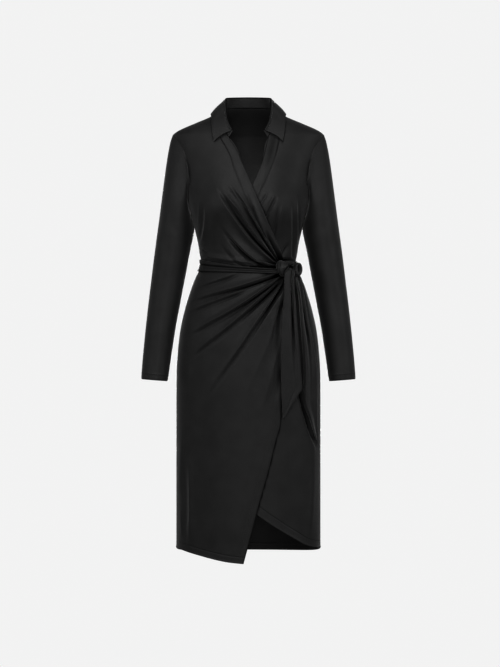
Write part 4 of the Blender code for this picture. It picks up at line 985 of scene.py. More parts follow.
def wall_mesh(name, face, back, chart, closed, shade, back_shade):
    """One closed wall between two grids of points, with the chart in metres as its UV map."""
    rows, columns = face.shape[:2]
    cell = grid_index(rows, columns, closed)
    tag = np.arange(cell.size).reshape(cell.shape)
    count = rows * columns
    skin, skin_tag = quads(cell), quads(tag)
    faces = [skin, skin[:, ::-1] + count]
    tags = [skin_tag, skin_tag[:, ::-1]]
    rims = [(cell[0], tag[0], -1), (cell[-1], tag[-1], 1)]
    if not closed:
        rims += [(cell[:, 0], tag[:, 0], 1), (cell[:, -1], tag[:, -1], -1)]
    for line, line_tag, way in rims:
        a, b = (line[:-1], line[1:]) if way > 0 else (line[1:], line[:-1])
        ta, tb = (line_tag[:-1], line_tag[1:]) if way > 0 else (line_tag[1:], line_tag[:-1])
        faces.append(np.stack([a, b, b + count, a + count], axis=-1))
        tags.append(np.stack([ta, tb, tb, ta], axis=-1))
    faces, tags = np.concatenate(faces), np.concatenate(tags)
    points = np.concatenate([face.reshape(-1, 3), back.reshape(-1, 3)])
    if not faces_outward(points, skin, points[skin[:, 0] + count]):
        faces, tags = faces[:, ::-1], tags[:, ::-1]
    if shade is not None:
        shade = np.concatenate([shade.ravel(), back_shade * shade.ravel()])
    return filled_mesh(name, points, faces, chart.reshape(-1, 2)[tags], shade)


def filled_mesh(name, points, faces, corner_uv=None, shade=None):
    """A smooth mesh of points and four-cornered faces, with each corner's UV and each point's painted shade.
    """
    mesh = bpy.data.meshes.new(name)
    mesh.vertices.add(len(points))
    mesh.vertices.foreach_set("co", points.astype(np.float32).ravel())
    mesh.loops.add(faces.size)
    mesh.loops.foreach_set("vertex_index", faces.astype(np.int32).ravel())
    mesh.polygons.add(len(faces))
    mesh.polygons.foreach_set("loop_start", np.arange(len(faces), dtype=np.int32) * faces.shape[1])
    if corner_uv is not None:
        layer = mesh.uv_layers.new(name="cloth")
        layer.uv.foreach_set("vector", corner_uv.astype(np.float32).ravel())
    if shade is not None:
        shade_layer = mesh.attributes.new("painted_shade", "FLOAT", "POINT")
        shade_layer.data.foreach_set("value", np.clip(shade, 0, 1).astype(np.float32).ravel())
    mesh.update(calc_edges=True)
    if mesh.validate():
        raise RuntimeError(f"the mesh of {name} has bad faces")
    mesh.shade_smooth()
    return mesh


def placed(name, mesh, nodes, finish):
    """Puts a finished mesh in the scene as a piece that rides on the dress and stands for its solids."""
    piece = bpy.data.objects.new(name, mesh)
    bpy.context.scene.collection.objects.link(piece)
    mesh.materials.append(finishes()[finish])
    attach(piece, "root")
    if nodes:
        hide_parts(*nodes)
    return piece


def cloth_piece(node, face, back, chart, shade=None, closed=False, back_shade=False,
                finish="jersey"):
    """The cloth of one node: a wall with round rims, its map of the cloth and its shade."""
    face, back = round_rims(face, back, not closed)
    chart = rounded_values(chart, not closed)
    if shade is not None:
        shade = rounded_values(shade, not closed)
    mesh = wall_mesh(node, face, back, chart, closed, shade, back_shade)
    return placed(node + "_cloth", mesh, [node], finish)


# ---------------------------------------------------------------- front and back panels

def panel_points(chart, lift, back=False, wall=CLOTH):
    """Face and back of a panel's wall at chart points, standing lift off the figure."""
    w, z = chart[..., 0], chart[..., 1]
    angle = to_angle(w, z, back)
    out = normal(angle, z)
    face = figure(angle, z) + lift[..., None] * out
    return face, face - wall * out


def with_side_allowances(chart):
    """Adds columns past both side seams of a back panel, which lie inside the front panels."""
    reach = half_width(chart[:, 0, 1]) / (0.5 * np.pi * depth(chart[:, 0, 1], "front"))
    reach = (SEAM_GAP + np.array(ALLOWANCE))[None, :] * reach[:, None]
    left, right = (np.repeat(chart[:, k:k + 1], len(ALLOWANCE), axis=1) for k in (0, -1 + chart.shape[1]))
    left[..., 0] -= reach
    right[..., 0] += reach[:, ::-1]
    return np.concatenate([left, chart, right], axis=1)


def gathered_rays(outline, first_edge, last_edge, places, count, bow, end_gaps):
    """Points (x, z) of a gathered panel: straight rays from the hub to the outline.

    A point is hub + s * (end - hub), with s from where the ray leaves the knot to 1, even steps first and
    then steps at fixed distances from the outline. bow bends a ray toward +X, and the first and last rays
    bend to their own edges.
    """
    ends = flat_view(outline(places))
    hub = np.array(HUB)
    length = np.linalg.norm(ends - hub, axis=-1)
    run = unit(np.gradient(ends, axis=0))
    way = (ends - hub) / length[:, None]
    sine = np.maximum(np.abs(way[:, 0] * run[:, 1] - way[:, 1] * run[:, 0]), 0.5)
    start = GATHER_RADIUS / length
    block = 1 - np.array(end_gaps)[:, None] / (length * sine)[None, :]
    even = start[None, :] + (block[:1] - start[None, :]) * np.linspace(0, 1, count)[:-1, None]
    along = np.concatenate([even, block])
    view = hub + along[..., None] * (ends - hub)
    view[..., 0] += bow * BOW_PEAK * along**2 * (1 - along)
    last_bend = flat_view(last_edge(along[:, -1])) - view[:, -1]
    first_bend = flat_view(first_edge(along[:, 0])) - view[:, 0]
    share_last = ease((places - BEND_REACH) / (1 - BEND_REACH))[None, :, None]
    share_first = (1 - ease(places / BEND_REACH))[None, :, None]
    view = view + share_last * last_bend[:, None, :] + share_first * first_bend[:, None, :]
    gap = np.full(along.shape, 1.0)
    gap[-len(end_gaps):] = np.array(end_gaps)[:, None]
    return view, gap


def over_panel(name, outline, edges, folds, side_folds, places, count, bow, end_gaps, hem_from, edge_bead):
    """A gathered over panel with a band beside its free edge. hem_from is the place where its hem starts."""
    view, end_gap = gathered_rays(outline, *edges, places, count, bow, end_gaps)
    narrow = ease(np.hypot(*(view[:, -1] - np.array(HUB)).T) / BAND_FULL)
    narrow = np.maximum(narrow, LEAST_BAND)
    view, edge_gap = banded(view, EDGE_GAPS, narrow)
    extra = view.shape[1] - len(places)
    end_gap = np.concatenate([end_gap, np.repeat(end_gap[:, -1:], extra, axis=1)], axis=1)
    all_places = np.concatenate([places, np.ones(extra)])
    if hem_from is None:
        hem_gap = np.full(view.shape[:2], 1.0)
    else:
        hem_gap = np.where(all_places >= hem_from, end_gap, 1.0)
    x, z = view[..., 0], view[..., 1]
    w = to_w(x, z)
    # painted shade and shadow beside the free edge: its band line, under the collar and along the shoulder,
    # or a dark line along an edge that rolls under and beside the front tail
    if edge_bead > 0:
        relief = hem_relief(edge_gap, edge_bead) * narrow[:, None]
        edge = darkest(band_shade(edge_gap, z), collar_shade(x, z), shoulder_shade(w, z))
    else:
        relief = edge_bead * bell(edge_gap / EDGE_BEAD_WIDTH) * narrow[:, None]
        edge = darkest(bell(edge_gap / EDGE_LINE), tail_shade(x, z))
    relief = relief + hem_relief(hem_gap)
    lift = over_lift(w, x, z, folds, side_folds) + relief
    far = FAR_SHADE[0] if folds is BODICE_FOLDS else FAR_SHADE[1]
    shade = darkest(fold_shade(x, z, folds, HUB, far), sash_shade(w, z), edge,
                    STITCH_SHADE * stitch_shade(hem_gap))
    chart = np.stack([w, z], axis=-1)
    face, back = panel_points(chart, lift)
    full = np.flatnonzero(narrow > 0.6)[0]
    note_stitches(name + "_edge", face[full:], back[full:], STITCH_PLACE)
    if hem_from is not None:
        hem = slice(np.flatnonzero(all_places >= hem_from)[0], STITCH_PLACE)
        note_stitches(name + "_hem", face[:, hem], back[:, hem], STITCH_PLACE, by_row=True)
    return cloth_piece(name, face, back, chart, shade)


def right_front_bodice():
    """The over front of the bodice: rays from the knot to its side, armhole and shoulder.

    Each point stands off the figure by the step over the under front, the gathers, the folds and the edge.
    """
    low = waist_height(-0.5 * np.pi) + 0.5 * SEAM_GAP
    outline = chain((0.30, lambda t: side_seam(t, low, -1)), (0.45, lambda t: armhole(t, -1)),
                    (0.25, lambda t: shoulder(t, -1)))
    neck_edge = chain((0.82, wrap_edge(OVER_NECK_EDGE[::-1], start=HUB)),
                      (0.18, lambda t: front_neckline(1 - t, -1)))

    def along_waist(t):
        return waist(t, to_w(*HUB), -seam_width(low), shift=0.5 * SEAM_GAP)
    places = stations((0.30, 50), (0.60, 54), (1.0, 96))
    bow = SHOULDER_BOW * np.interp(places, (0.38, 0.75, 1.0), (0, 1, 0))
    return over_panel("right_front_bodice", outline, (along_waist, neck_edge), BODICE_FOLDS,
                      BODICE_SIDE_FOLDS, places, 138, bow, SEAM_GAPS, None, EDGE_BEAD)


def right_front_skirt():
    """The over front of the skirt: rays from the knot to its side and hem, lifted in the same way."""
    low = waist_height(-0.5 * np.pi) - 0.5 * SEAM_GAP
    hem = wrap_edge(OVER_SKIRT_HEM)

    def side(t):
        return side_line(low + (OVER_SKIRT_HEM[0][1] - low) * t**1.7, -1)

    def hem_edge(t):
        points = hem(t)
        points[:, 0] = np.maximum(points[:, 0], -seam_width(points[:, 1]))
        return points
    outline = chain((0.65, side), (0.35, hem_edge))

    def along_waist(t):
        return waist(t, to_w(*HUB), -seam_width(low), shift=-0.5 * SEAM_GAP)
    places = stations((0.40, 98), (0.65, 42), (1.0, 48))
    free_edge = wrap_edge(OVER_SKIRT_EDGE, start=HUB)
    return over_panel("right_front_skirt", outline, (along_waist, free_edge), SKIRT_FOLDS,
                      OVER_SKIRT_LOW_FOLDS, places, 150, 0.0, EDGE_GAPS, 0.655, EDGE_ROLL)


def under_chart(sides, across, up, gaps_left, gaps_end):
    """A Coons panel's chart points with bands beside its left edge and, if wanted, its last row."""
    grid = sides(across, up)
    grid, edge_gap = banded(np.flip(grid, axis=1), gaps_left)
    grid, edge_gap = np.flip(grid, axis=1), np.flip(edge_gap, axis=1)
    if gaps_end is None:
        return grid, edge_gap, np.full(grid.shape[:2], 1.0)
    before = grid.shape[0]
    grid, hem_gap = banded_rows(grid, gaps_end)
    more = grid.shape[0] - before
    edge_gap = np.concatenate([edge_gap, np.repeat(edge_gap[-1:], more, axis=0)])
    return grid, edge_gap, hem_gap


def left_front_bodice():
    """The under front of the bodice: a patch inside its waist, side, shoulder and V edge.

    Each point stands off the figure by its folds, the bulge over the sash and the edge.
    """
    start = under_edge_start(0.5 * SEAM_GAP)
    edge = wrap_edge(UNDER_NECK_EDGE[::-1], start=start)
    low_w = edge(np.array([0.0]))[0, 0]
    low = waist_height(0.5 * np.pi) + 0.5 * SEAM_GAP

    def bottom(t):
        return waist(t, low_w, seam_width(low), shift=0.5 * SEAM_GAP)

    def top(t):
        return shoulder(1 - t, 1)
    side = chain((SIDE_SHARE, lambda t: side_seam(t, low, 1)), (1 - SIDE_SHARE, lambda t: armhole(t, 1)))
    neck_share = SIDE_SHARE + (1 - SIDE_SHARE) * 0.7
    inner = chain((neck_share, edge), (1 - neck_share, lambda t: front_neckline(1 - t, 1)))
    across, up = np.linspace(0, 1, 104), stations((SIDE_SHARE, 60), (1.0, 92))
    chart, edge_gap, _ = under_chart(patch(bottom, top, inner, side), across, up, EDGE_GAPS, None)
    x, z = front_x(chart), chart[..., 1]
    fade = ease((half_width(z) - chart[..., 0]) / 0.010)
    lift = (ridges(x, z, UNDER_FOLDS) + blouse(chart[..., 0], z)) * fade + hem_relief(edge_gap)
    face, back = panel_points(chart, lift)
    note_stitches("left_front_bodice_edge", face, back, -1 - STITCH_PLACE)
    # painted shade in a band beside the V edge, strongest toward the top of the V
    roll_at, roll_reach = V_ROLL
    v_edge_shade = 0.5 * bell((edge_gap - roll_at) / roll_reach) * ease((z + 0.125) / 0.06)
    shade = darkest(fold_shade(x, z, UNDER_FOLDS), sash_shade(chart[..., 0], z), v_edge_shade,
                    band_shade(edge_gap, z), edge_shade(x, z, OVER_NECK_EDGE), collar_shade(x, z),
                    shoulder_shade(chart[..., 0], z))
    return cloth_piece("left_front_bodice", face, back, chart, shade)


def left_front_skirt():
    """The under front of the skirt: a patch inside its waist, side, hem and free edge, lifted by folds."""
    low = waist_height(0.5 * np.pi) - 0.5 * SEAM_GAP
    edge = wrap_edge(UNDER_SKIRT_EDGE, start=under_edge_start(-0.5 * SEAM_GAP))
    hem = wrap_edge(UNDER_SKIRT_HEM)
    low_w = edge(np.array([0.0]))[0, 0]

    def waistline(t):
        return waist(t, low_w, seam_width(low), shift=-0.5 * SEAM_GAP)

    def side(t):
        return side_line(low + (UNDER_SKIRT_HEM[-1][1] - low) * t, 1)

    def hem_edge(t):
        points = hem(t)
        points[:, 0] = np.minimum(points[:, 0], seam_width(points[:, 1]))
        return points
    across, up = np.linspace(0, 1, 96), np.linspace(0, 1, 160) ** 1.2
    sides = patch(waistline, hem_edge, edge, side)
    chart, edge_gap, hem_gap = under_chart(sides, across, up, EDGE_GAPS, EDGE_GAPS)
    x, z = front_x(chart), chart[..., 1]
    fade = ease((half_width(z) - chart[..., 0]) / 0.018)
    lift = ridges(x, z, UNDER_SKIRT_FOLDS) * fade + hem_relief(np.minimum(hem_gap, edge_gap))
    face, back = panel_points(chart, lift)
    note_stitches("left_front_skirt_hem", face, back, STITCH_PLACE, by_row=True)
    shade = darkest(fold_shade(x, z, UNDER_SKIRT_FOLDS), sash_shade(chart[..., 0], z),
                    edge_shade(x, z, OVER_SKIRT_EDGE), STITCH_SHADE * stitch_shade(hem_gap))
    return cloth_piece("left_front_skirt", face, back, chart, shade)


def back_bodice():
    """The back of the bodice: a patch inside its waist, sides, shoulders and neckline, lifted by folds."""
    low = waist_height(0.5 * np.pi) + 0.5 * SEAM_GAP
    low_right = waist_height(-0.5 * np.pi) + 0.5 * SEAM_GAP

    def bottom(t):
        return waist(t, -seam_width(low_right), seam_width(low), True, 0.5 * SEAM_GAP)
    arm_share = 1 - SIDE_SHARE
    left = chain((SIDE_SHARE, lambda t: side_seam(t, low_right, -1)),
                 (arm_share, lambda t: armhole(t, -1, True)))
    right = chain((SIDE_SHARE, lambda t: side_seam(t, low, 1)),
                  (arm_share, lambda t: armhole(t, 1, True)))
    top = chain((0.3, lambda t: shoulder(t, -1)), (0.4, back_neckline), (0.3, lambda t: shoulder(1 - t, 1)))
    across = stations((0.3, 50), (0.7, 46), (1.0, 50))
    up = stations((SIDE_SHARE, 46), (1.0, 78))
    chart = patch(bottom, top, left, right)(across, up)
    x, z = front_x(chart), chart[..., 1]
    fade = ease((half_width(z) - np.abs(chart[..., 0])) / 0.010)
    lift = (ridges(x, z, BACK_BODICE_FOLDS) + blouse(chart[..., 0], z, back=True)) * fade
    face, back = panel_points(chart, lift, True)
    shade = darkest(fold_shade(x, z, BACK_BODICE_FOLDS), sash_shade(chart[..., 0], z, True),
                    shoulder_shade(chart[..., 0], z))
    return cloth_piece("back_bodice", face, back, chart, shade)


def back_skirt():
    """The back of the skirt: a patch inside its waist, sides and hem, lifted by folds.

    Past both side seams it goes on as an allowance sunk behind the front panels.
    """
    low = waist_height(0.5 * np.pi) - 0.5 * SEAM_GAP
    low_right = waist_height(-0.5 * np.pi) - 0.5 * SEAM_GAP

    def top(t):
        return waist(t, -seam_width(low_right), seam_width(low), True, -0.5 * SEAM_GAP)

    def hem(t):
        w = (2 * t - 1) * seam_width(BACK_HEM_SIDE + 0 * t)
        return np.stack([w, back_hem(w, BACK_HEM_SIDE + 0 * w)], axis=-1)

    def side(t, sign, start):
        return side_line(start + (BACK_HEM_SIDE - start) * t, sign)
    sides = patch(top, hem, lambda t: side(t, -1, low_right), lambda t: side(t, 1, low))
    up = np.linspace(0, 1, 132) ** 1.2
    grid, hem_gap = banded_rows(sides(np.linspace(0, 1, 150), up), EDGE_GAPS)
    grid = with_side_allowances(grid)
    extra = len(ALLOWANCE)
    hem_gap = np.pad(hem_gap, ((0, 0), (extra, extra)), mode="edge")
    inside = np.full(grid.shape[:2], True)
    inside[:, :extra] = inside[:, -extra:] = False
    x, z = front_x(grid), grid[..., 1]
    fade = ease((half_width(z) - np.abs(grid[..., 0])) / 0.010)
    lift = ridges(x, z, BACK_SKIRT_FOLDS) * fade + hem_relief(hem_gap)
    lift = np.where(inside, lift, -ALLOWANCE_DEPTH)
    face, back = panel_points(grid, lift, True, np.where(inside, CLOTH, ALLOWANCE_CLOTH)[..., None])
    note_stitches("back_skirt_hem", face[:, extra:-extra], back[:, extra:-extra], STITCH_PLACE, by_row=True)
    shade = darkest(fold_shade(x, z, BACK_SKIRT_FOLDS), sash_shade(grid[..., 0], z, True),
                    STITCH_SHADE * stitch_shade(hem_gap))
    return cloth_piece("back_skirt", face, back, grid, shade)


# ---------------------------------------------------------------- sleeves

SLEEVE_LENGTH = 0.62
SLEEVE_RADIUS = 0.048      # on the average, for the map of the knit
SLEEVE_BLEND = 0.36        # down to this place its rings take over from the armhole's shape


def armhole_ring(turns):
    """Points round the armhole at +X, from the shoulder point down the front and up the back."""
    down_front = np.clip(1 - turns / np.pi, 0, 1)
    up_back = np.clip(1 - (2 * np.pi - turns) / np.pi, 0, 1)
    return figure(*either_side(turns > np.pi, armhole(down_front, 1), armhole(up_back, 1, True)))


def sleeve_points(turns, places):
    """The sleeve's face at +X: rings from the armhole (0) to the cuff (1)."""
    knots = np.linspace(0, 1, len(SLEEVE))
    ring = {name: curve(places, knots, column(SLEEVE, SLEEVE_COLUMNS, name)) for name in SLEEVE_COLUMNS}
    zeros = 0 * places
    cos, sin = np.cos(turns)[None, :, None], np.sin(turns)[None, :, None]
    outer = np.stack([ring["outer_x"], ring["middle_y"], ring["outer_z"]], axis=-1)
    inner = np.stack([ring["inner_x"], ring["middle_y"], ring["inner_z"]], axis=-1)
    middle, arm = (outer + inner) / 2, (outer - inner) / 2
    depth_way = np.stack([zeros, -ring["half_depth"], zeros], axis=-1)
    rings = middle[:, None] + arm[:, None] * cos + depth_way[:, None] * sin
    fade = (1 - ease(places / SLEEVE_BLEND))[:, None, None]
    return rings + (armhole_ring(turns) - rings[0])[None] * fade


def tube_normals(points):
    """Directions square to a tube's grid of points, rows downward and columns round."""
    round_it = (np.roll(points, -1, axis=1) - np.roll(points, 1, axis=1)) / 2
    return unit(np.cross(round_it, np.gradient(points, axis=0)))


def seam_allowance(ring):
    """Rows of points inside the bodice, behind its armhole edge: the edge moved into the panel and sunk."""
    out = lift_from(ring)[1]
    inward = unit(np.cross(np.roll(ring, -1, axis=0) - np.roll(ring, 1, axis=0), out))
    inward = inward * np.sign(np.sum(inward * (ring - ring.mean(axis=0)), axis=-1, keepdims=True))
    rows = ring + np.array(ALLOWANCE)[:, None, None] * inward
    lift, out = lift_from(rows)
    return rows - (lift + ALLOWANCE_DEPTH)[..., None] * out


def sleeve(name, sign):
    """One sleeve: rings from the armhole to the cuff, kept clear of the bodice, with soft folds and a hem.

    A hollow beside the armhole seam takes depth(turn) * d / reach * exp(1 - d / reach) off the tube's radius,
    with d the distance from the seam, and the seam allowance lies inside the bodice.
    """
    turns = np.linspace(0, 2 * np.pi, 116, endpoint=False)
    places = np.concatenate([np.linspace(0, 1 - EDGE_GAPS[0] / SLEEVE_LENGTH, 126)[:-1] ** 1.05,
                             1 - np.array(EDGE_GAPS) / SLEEVE_LENGTH])
    face = sleeve_points(turns, places)
    face[0] = face[0] + SEAM_GAP * unit(face[1] - face[0])
    near = SEAM_GAP + (SEAM_CLEARANCE - SEAM_GAP) * np.sin(0.5 * turns)[None, :]
    clearance = near + (SLEEVE_CLEARANCE - near) * ease(places / 0.03)[:, None]
    close = places < CLEAR_UNTIL
    face[close] = push_out(face[close], clearance[close])
    face = np.concatenate([seam_allowance(armhole_ring(turns)), face])
    gap = np.concatenate([np.full(len(face) - len(EDGE_GAPS), 1.0), EDGE_GAPS])[:, None] + 0 * turns[None, :]
    from_seam = np.concatenate([-np.array(ALLOWANCE), places * SLEEVE_LENGTH])
    chart = crossed(np.append(turns, 2 * np.pi)[None, :] * SLEEVE_RADIUS, -from_seam[:, None])
    near_seam = np.maximum(from_seam, 0)[:, None] / ARM_FOLD_REACH
    hollow = table_curve(np.degrees(turns), ARM_FOLD, ARM_FOLD_COLUMNS, "turn", "depth")[None, :]
    lift = (ridges(chart[:, :-1, 0], chart[:, :-1, 1], SLEEVE_FOLDS) + hem_relief(gap)
            - hollow * near_seam * np.exp(1 - near_seam))
    # painted shade on the inner side of the sleeve beside the armhole seam, and along the hem's stitch line
    along = np.maximum(from_seam, 0)[:, None]
    turned = np.degrees(turns)[None, :]
    inner = ease((turned - ARM_SHADE_TURNS[0]) / 42) * (1 - ease((turned - ARM_SHADE_TURNS[1]) / 30))
    deepest = column(ARM_FOLD, ARM_FOLD_COLUMNS, "depth").max()
    shade_at, shade_reach = ARM_SHADE_AT
    shade = ARM_SHADE * np.maximum(hollow / deepest, inner) * bell((along - shade_at) / shade_reach)
    shade = darkest(shade, STITCH_SHADE * stitch_shade(gap))
    face[..., 0] *= sign
    out = -sign * tube_normals(face)
    face = face + lift[..., None] * out
    wall = np.where(from_seam < 0, ALLOWANCE_CLOTH, CLOTH)[:, None, None]
    note_stitches(name + "_hem", face, face - out, STITCH_PLACE, by_row=True)
    return cloth_piece(name, face, face - wall * out, chart, shade, closed=True)


# ---------------------------------------------------------------- collar and facings

def collar_line(places, name):
    """The collar's roll or its edge at +X, from the centre back (0) to the front (1)."""
    return np.stack([table_curve(places, COLLAR, COLLAR_COLUMNS, "place", name + axis)
                     for axis in ("_x", "_y", "_z")], axis=-1)


def neck_seam(places):
    """The neck seam at +X from the centre back (0) to the top of the V (1).

    It comes with two directions at each point: out of the bodice and off its edge.
    """
    along_back = 0.5 + 0.5 * np.clip(places / NECK_SEAM_BACK, 0, 1)
    down_front = np.clip((places - NECK_SEAM_BACK) / (1 - NECK_SEAM_BACK), 0, 1) ** 1.8
    angle, z = either_side(places <= NECK_SEAM_BACK, front_neckline(down_front, 1), back_neckline(along_back))
    seam, out = figure(angle, z), normal(angle, z)
    return seam, out, unit(np.cross(np.gradient(seam, axis=0), out))


def lifted(x, z, lift):
    """Points seen at (x, z) in the front view that stand lift off the figure, with the outward direction."""
    at_x, at_z = x, z
    for _ in range(8):
        angle = angle_of(at_x / half_width(at_z))
        out = normal(angle, at_z)
        point = figure(angle, at_z) + lift[..., None] * out
        at_x = at_x + x - point[..., 0]
        at_z = at_z + z - point[..., 2]
    return point, out


def collar():
    """Seam, stand, roll and leaf as one folded wall: each column is a section of that wall."""
    half = np.linspace(0, 1, 79)
    seam, out, off_panel = neck_seam(half)
    seam = seam - 0.5 * CLOTH * out + COLLAR_SEAM_LIFT * off_panel
    roll, edge = collar_line(half, "roll"), push_out(collar_line(half, "edge"), COLLAR_CLEARANCE)
    away = unit((edge - roll) * np.array([1, 1, 0]))
    up = np.array([0.0, 0.0, 1.0])
    inner_top = roll - COLLAR_ROLL * up
    outer_top = roll + 2 * COLLAR_ROLL * away - COLLAR_ROLL * up
    centre = [seam + share * (inner_top - seam) for share in np.linspace(0, 1, 14)[:-1]]
    for turn in np.linspace(np.pi, 0, 13):
        centre.append(roll + COLLAR_ROLL * (1 + np.cos(turn)) * away
                      + COLLAR_ROLL * (1.2 * np.sin(turn) - 1) * up)
    for share in np.concatenate([np.linspace(0, 0.9, 26)[1:], np.array((0.93, 0.955, 0.975, 0.99, 1.0))]):
        point = outer_top + share * (edge - outer_top) + 0.004 * np.sin(np.pi * share) * (away + 0.4 * up)
        centre.append(push_out(point, COLLAR_CLEARANCE))
    centre = np.stack(centre)
    run = np.gradient(centre, axis=0)
    level = np.sum(run * away[None], axis=-1)
    side = unit(-run[..., 2:3] * away[None] + level[..., None] * up)
    face, back = centre + 0.5 * CLOTH * side, centre - 0.5 * CLOTH * side
    mirror = np.array([-1.0, 1.0, 1.0])
    face = np.concatenate([face[:, :0:-1] * mirror, face], axis=1)
    back = np.concatenate([back[:, :0:-1] * mirror, back], axis=1)
    down = walked_along(centre[:, len(half) // 2])
    chart = crossed(np.concatenate([-half[:0:-1], half])[None, :] * COLLAR_HALF_LENGTH, down[:, None])
    shade = np.zeros(len(centre))
    shade[:2] = COLLAR_SEAM_SHADE
    shade[14:19] = COLLAR_ROLL_SHADE
    return cloth_piece("collar", face, back, chart, shade[:, None] + 0 * face[..., 0], back_shade=True)


def facing(name, rows, sign, lift):
    """A strip behind the V edge whose top rolls out past the edge as a lip."""
    heights = column(FACING_LIP, LIP_COLUMNS, "height")
    z = np.linspace(heights[0], heights[-1], 44)
    edge_x = table_curve(z, rows, WRAP_EDGE_COLUMNS, "height", "x")
    reach = table_curve(z, FACING_LIP, LIP_COLUMNS, "height", "reach")
    across = np.linspace(0, 1, 18)
    x = edge_x[:, None] + sign * (reach[:, None] - (reach[:, None] + FACING_WIDTH) * across[None, :])
    height = z[:, None] + 0 * x
    chart = np.stack([to_w(x, height), height], axis=-1)
    face, back = panel_points(chart, lift(chart[..., 0], x, height) - CLOTH - FACING_BEHIND)
    # painted shade: a dark line between the front's edge and the lip
    shade = 1 - ease((sign * (x - edge_x[:, None]) - 0.0004) / 0.0022)
    return cloth_piece(name, face, back, chart, 0.9 * shade)


# ---------------------------------------------------------------- sash and its tails

def dressed_lift(angle, z):
    """How far the outermost front cloth stands off the figure."""
    place = figure(angle, z)
    w = half_width(z) * np.arctan2(np.sin(angle), np.cos(angle)) / (0.5 * np.pi)
    above = over_lift(w, place[..., 0], z, BODICE_FOLDS, BODICE_SIDE_FOLDS)
    below = over_lift(w, place[..., 0], z, SKIRT_FOLDS, OVER_SKIRT_LOW_FOLDS)
    front = np.cos(angle) > 0
    under_it = 1 - ease((place[..., 0] - OVER_SKIRT_EDGE[0][0]) / 0.020)
    return np.where(front, np.maximum(np.where(z > -0.355, above, below), 0) * under_it, 0)


def sash():
    """The belt: a strip round the waist over the gathers, with soft folds along it."""
    degrees = column(SASH, SASH_COLUMNS, "angle")
    at = np.linspace(degrees[0], degrees[-1], 350)
    middle, half = sash_lines(at)
    across = np.sin(0.5 * np.pi * np.linspace(1, -1, 30))
    angle = np.radians(at)[None, :] + 0 * across[:, None]
    height = middle[None, :] + half[None, :] * across[:, None]
    z = height
    for _ in range(3):
        cover = np.zeros_like(z)
        for shift in np.linspace(-0.004, 0.004, 5):
            cover = np.maximum(cover, dressed_lift(angle, z + shift))
        cover = np.max(cover, axis=0)
        cover = np.convolve(np.pad(cover, 4, mode="edge"), np.ones(9) / 9, mode="valid")[None, :] + 0 * z
        out = normal(angle, z)
        z = height - (cover + SASH_CLEARANCE + SASH_CLOTH) * out[..., 2]
    out = normal(angle, z)
    round_crown = np.interp(across, (-1, -0.9, 0.6, 0.85, 1), SASH_CROWN)[:, None]
    round_crown = round_crown * (0.2 + 0.8 * ease(np.abs(np.cos(np.radians(at))) / 0.5))[None, :]
    crease = bell((across[:, None] - sash_crease(at)[None, :]) / 0.16)
    low_crease = bell((across[:, None] - sash_crease(at + 67)[None, :] + 0.75) / 0.14)
    inner = figure(angle, z) + (cover + SASH_CLEARANCE)[..., None] * out
    relief = round_crown - SASH_CREASE_DEPTHS[0] * crease - SASH_CREASE_DEPTHS[1] * low_crease
    face = inner + (SASH_CLOTH + relief)[..., None] * out
    # painted shade in the creases, along the lower edge and at both ends, where the sash goes under the knot
    lower_edge_shade = ease((0.12 - (across[:, None] + 1)) / 0.12)
    ends = (ease((at - 29) / 5) + ease((-303 - at) / 6))[None, :]
    shade = darkest(0.9 * crease + 0.25 * low_crease + lower_edge_shade, ends)
    # the band's cloth is the darker copy of the sash's: painted shade
    return cloth_piece("sash", face, inner, crossed(at[None, :] * SASH_DEGREE, z), shade,
                       finish="shaded_band")


def sash_crease(degrees):
    """Place of the sash's long crease across its width, wandering slowly round the waist."""
    turn = np.radians(degrees)
    return 0.22 + 0.07 * np.sin(1.3 * turn + 0.6) + 0.05 * np.sin(3.1 * turn)


def tail(name, rows, shape, over, tip_width):
    """A hanging end of the sash: a strip over the skirt with lengthwise folds and a slanted end."""
    heights = column(rows, TAIL_COLUMNS, "height")
    z = np.interp(np.linspace(0, 1, 160), np.linspace(0, 1, len(heights)), heights)
    left, right, lift = (table_curve(z, rows, TAIL_COLUMNS, "height", name) for name in TAIL_COLUMNS[1:])
    across = 0.5 - 0.5 * np.cos(np.pi * np.linspace(0, 1, 51))
    across = 0.6 * across + 0.4 * np.linspace(0, 1, 51)
    x = left[:, None] + (right - left)[:, None] * across[None, :]
    height = z[:, None] + 0 * x
    opened = ease((heights[0] - z) / TAIL_FOLD_END)[:, None]
    top, low = (table_curve(across, shape, TAIL_SHAPE_COLUMNS, "across", name)[None, :]
                for name in TAIL_SHAPE_COLUMNS[1:])
    flat = np.minimum(1, (right - left) / tip_width)[:, None]
    fold = top * (1 - opened) + low * opened * flat
    tuck = -over * (1 - ease((heights[0] - z) / TAIL_TUCK))[:, None]
    inner, out = lifted(x, height, lift[:, None] + fold + tuck)
    chart = np.stack([x, height], axis=-1)
    # painted shade in the tail's folds
    return cloth_piece(name, inner + SASH_CLOTH * out, inner, chart, np.clip(-fold / TAIL_FULL_GROOVE, 0, 1),
                       finish="sash")


# ---------------------------------------------------------------- knot

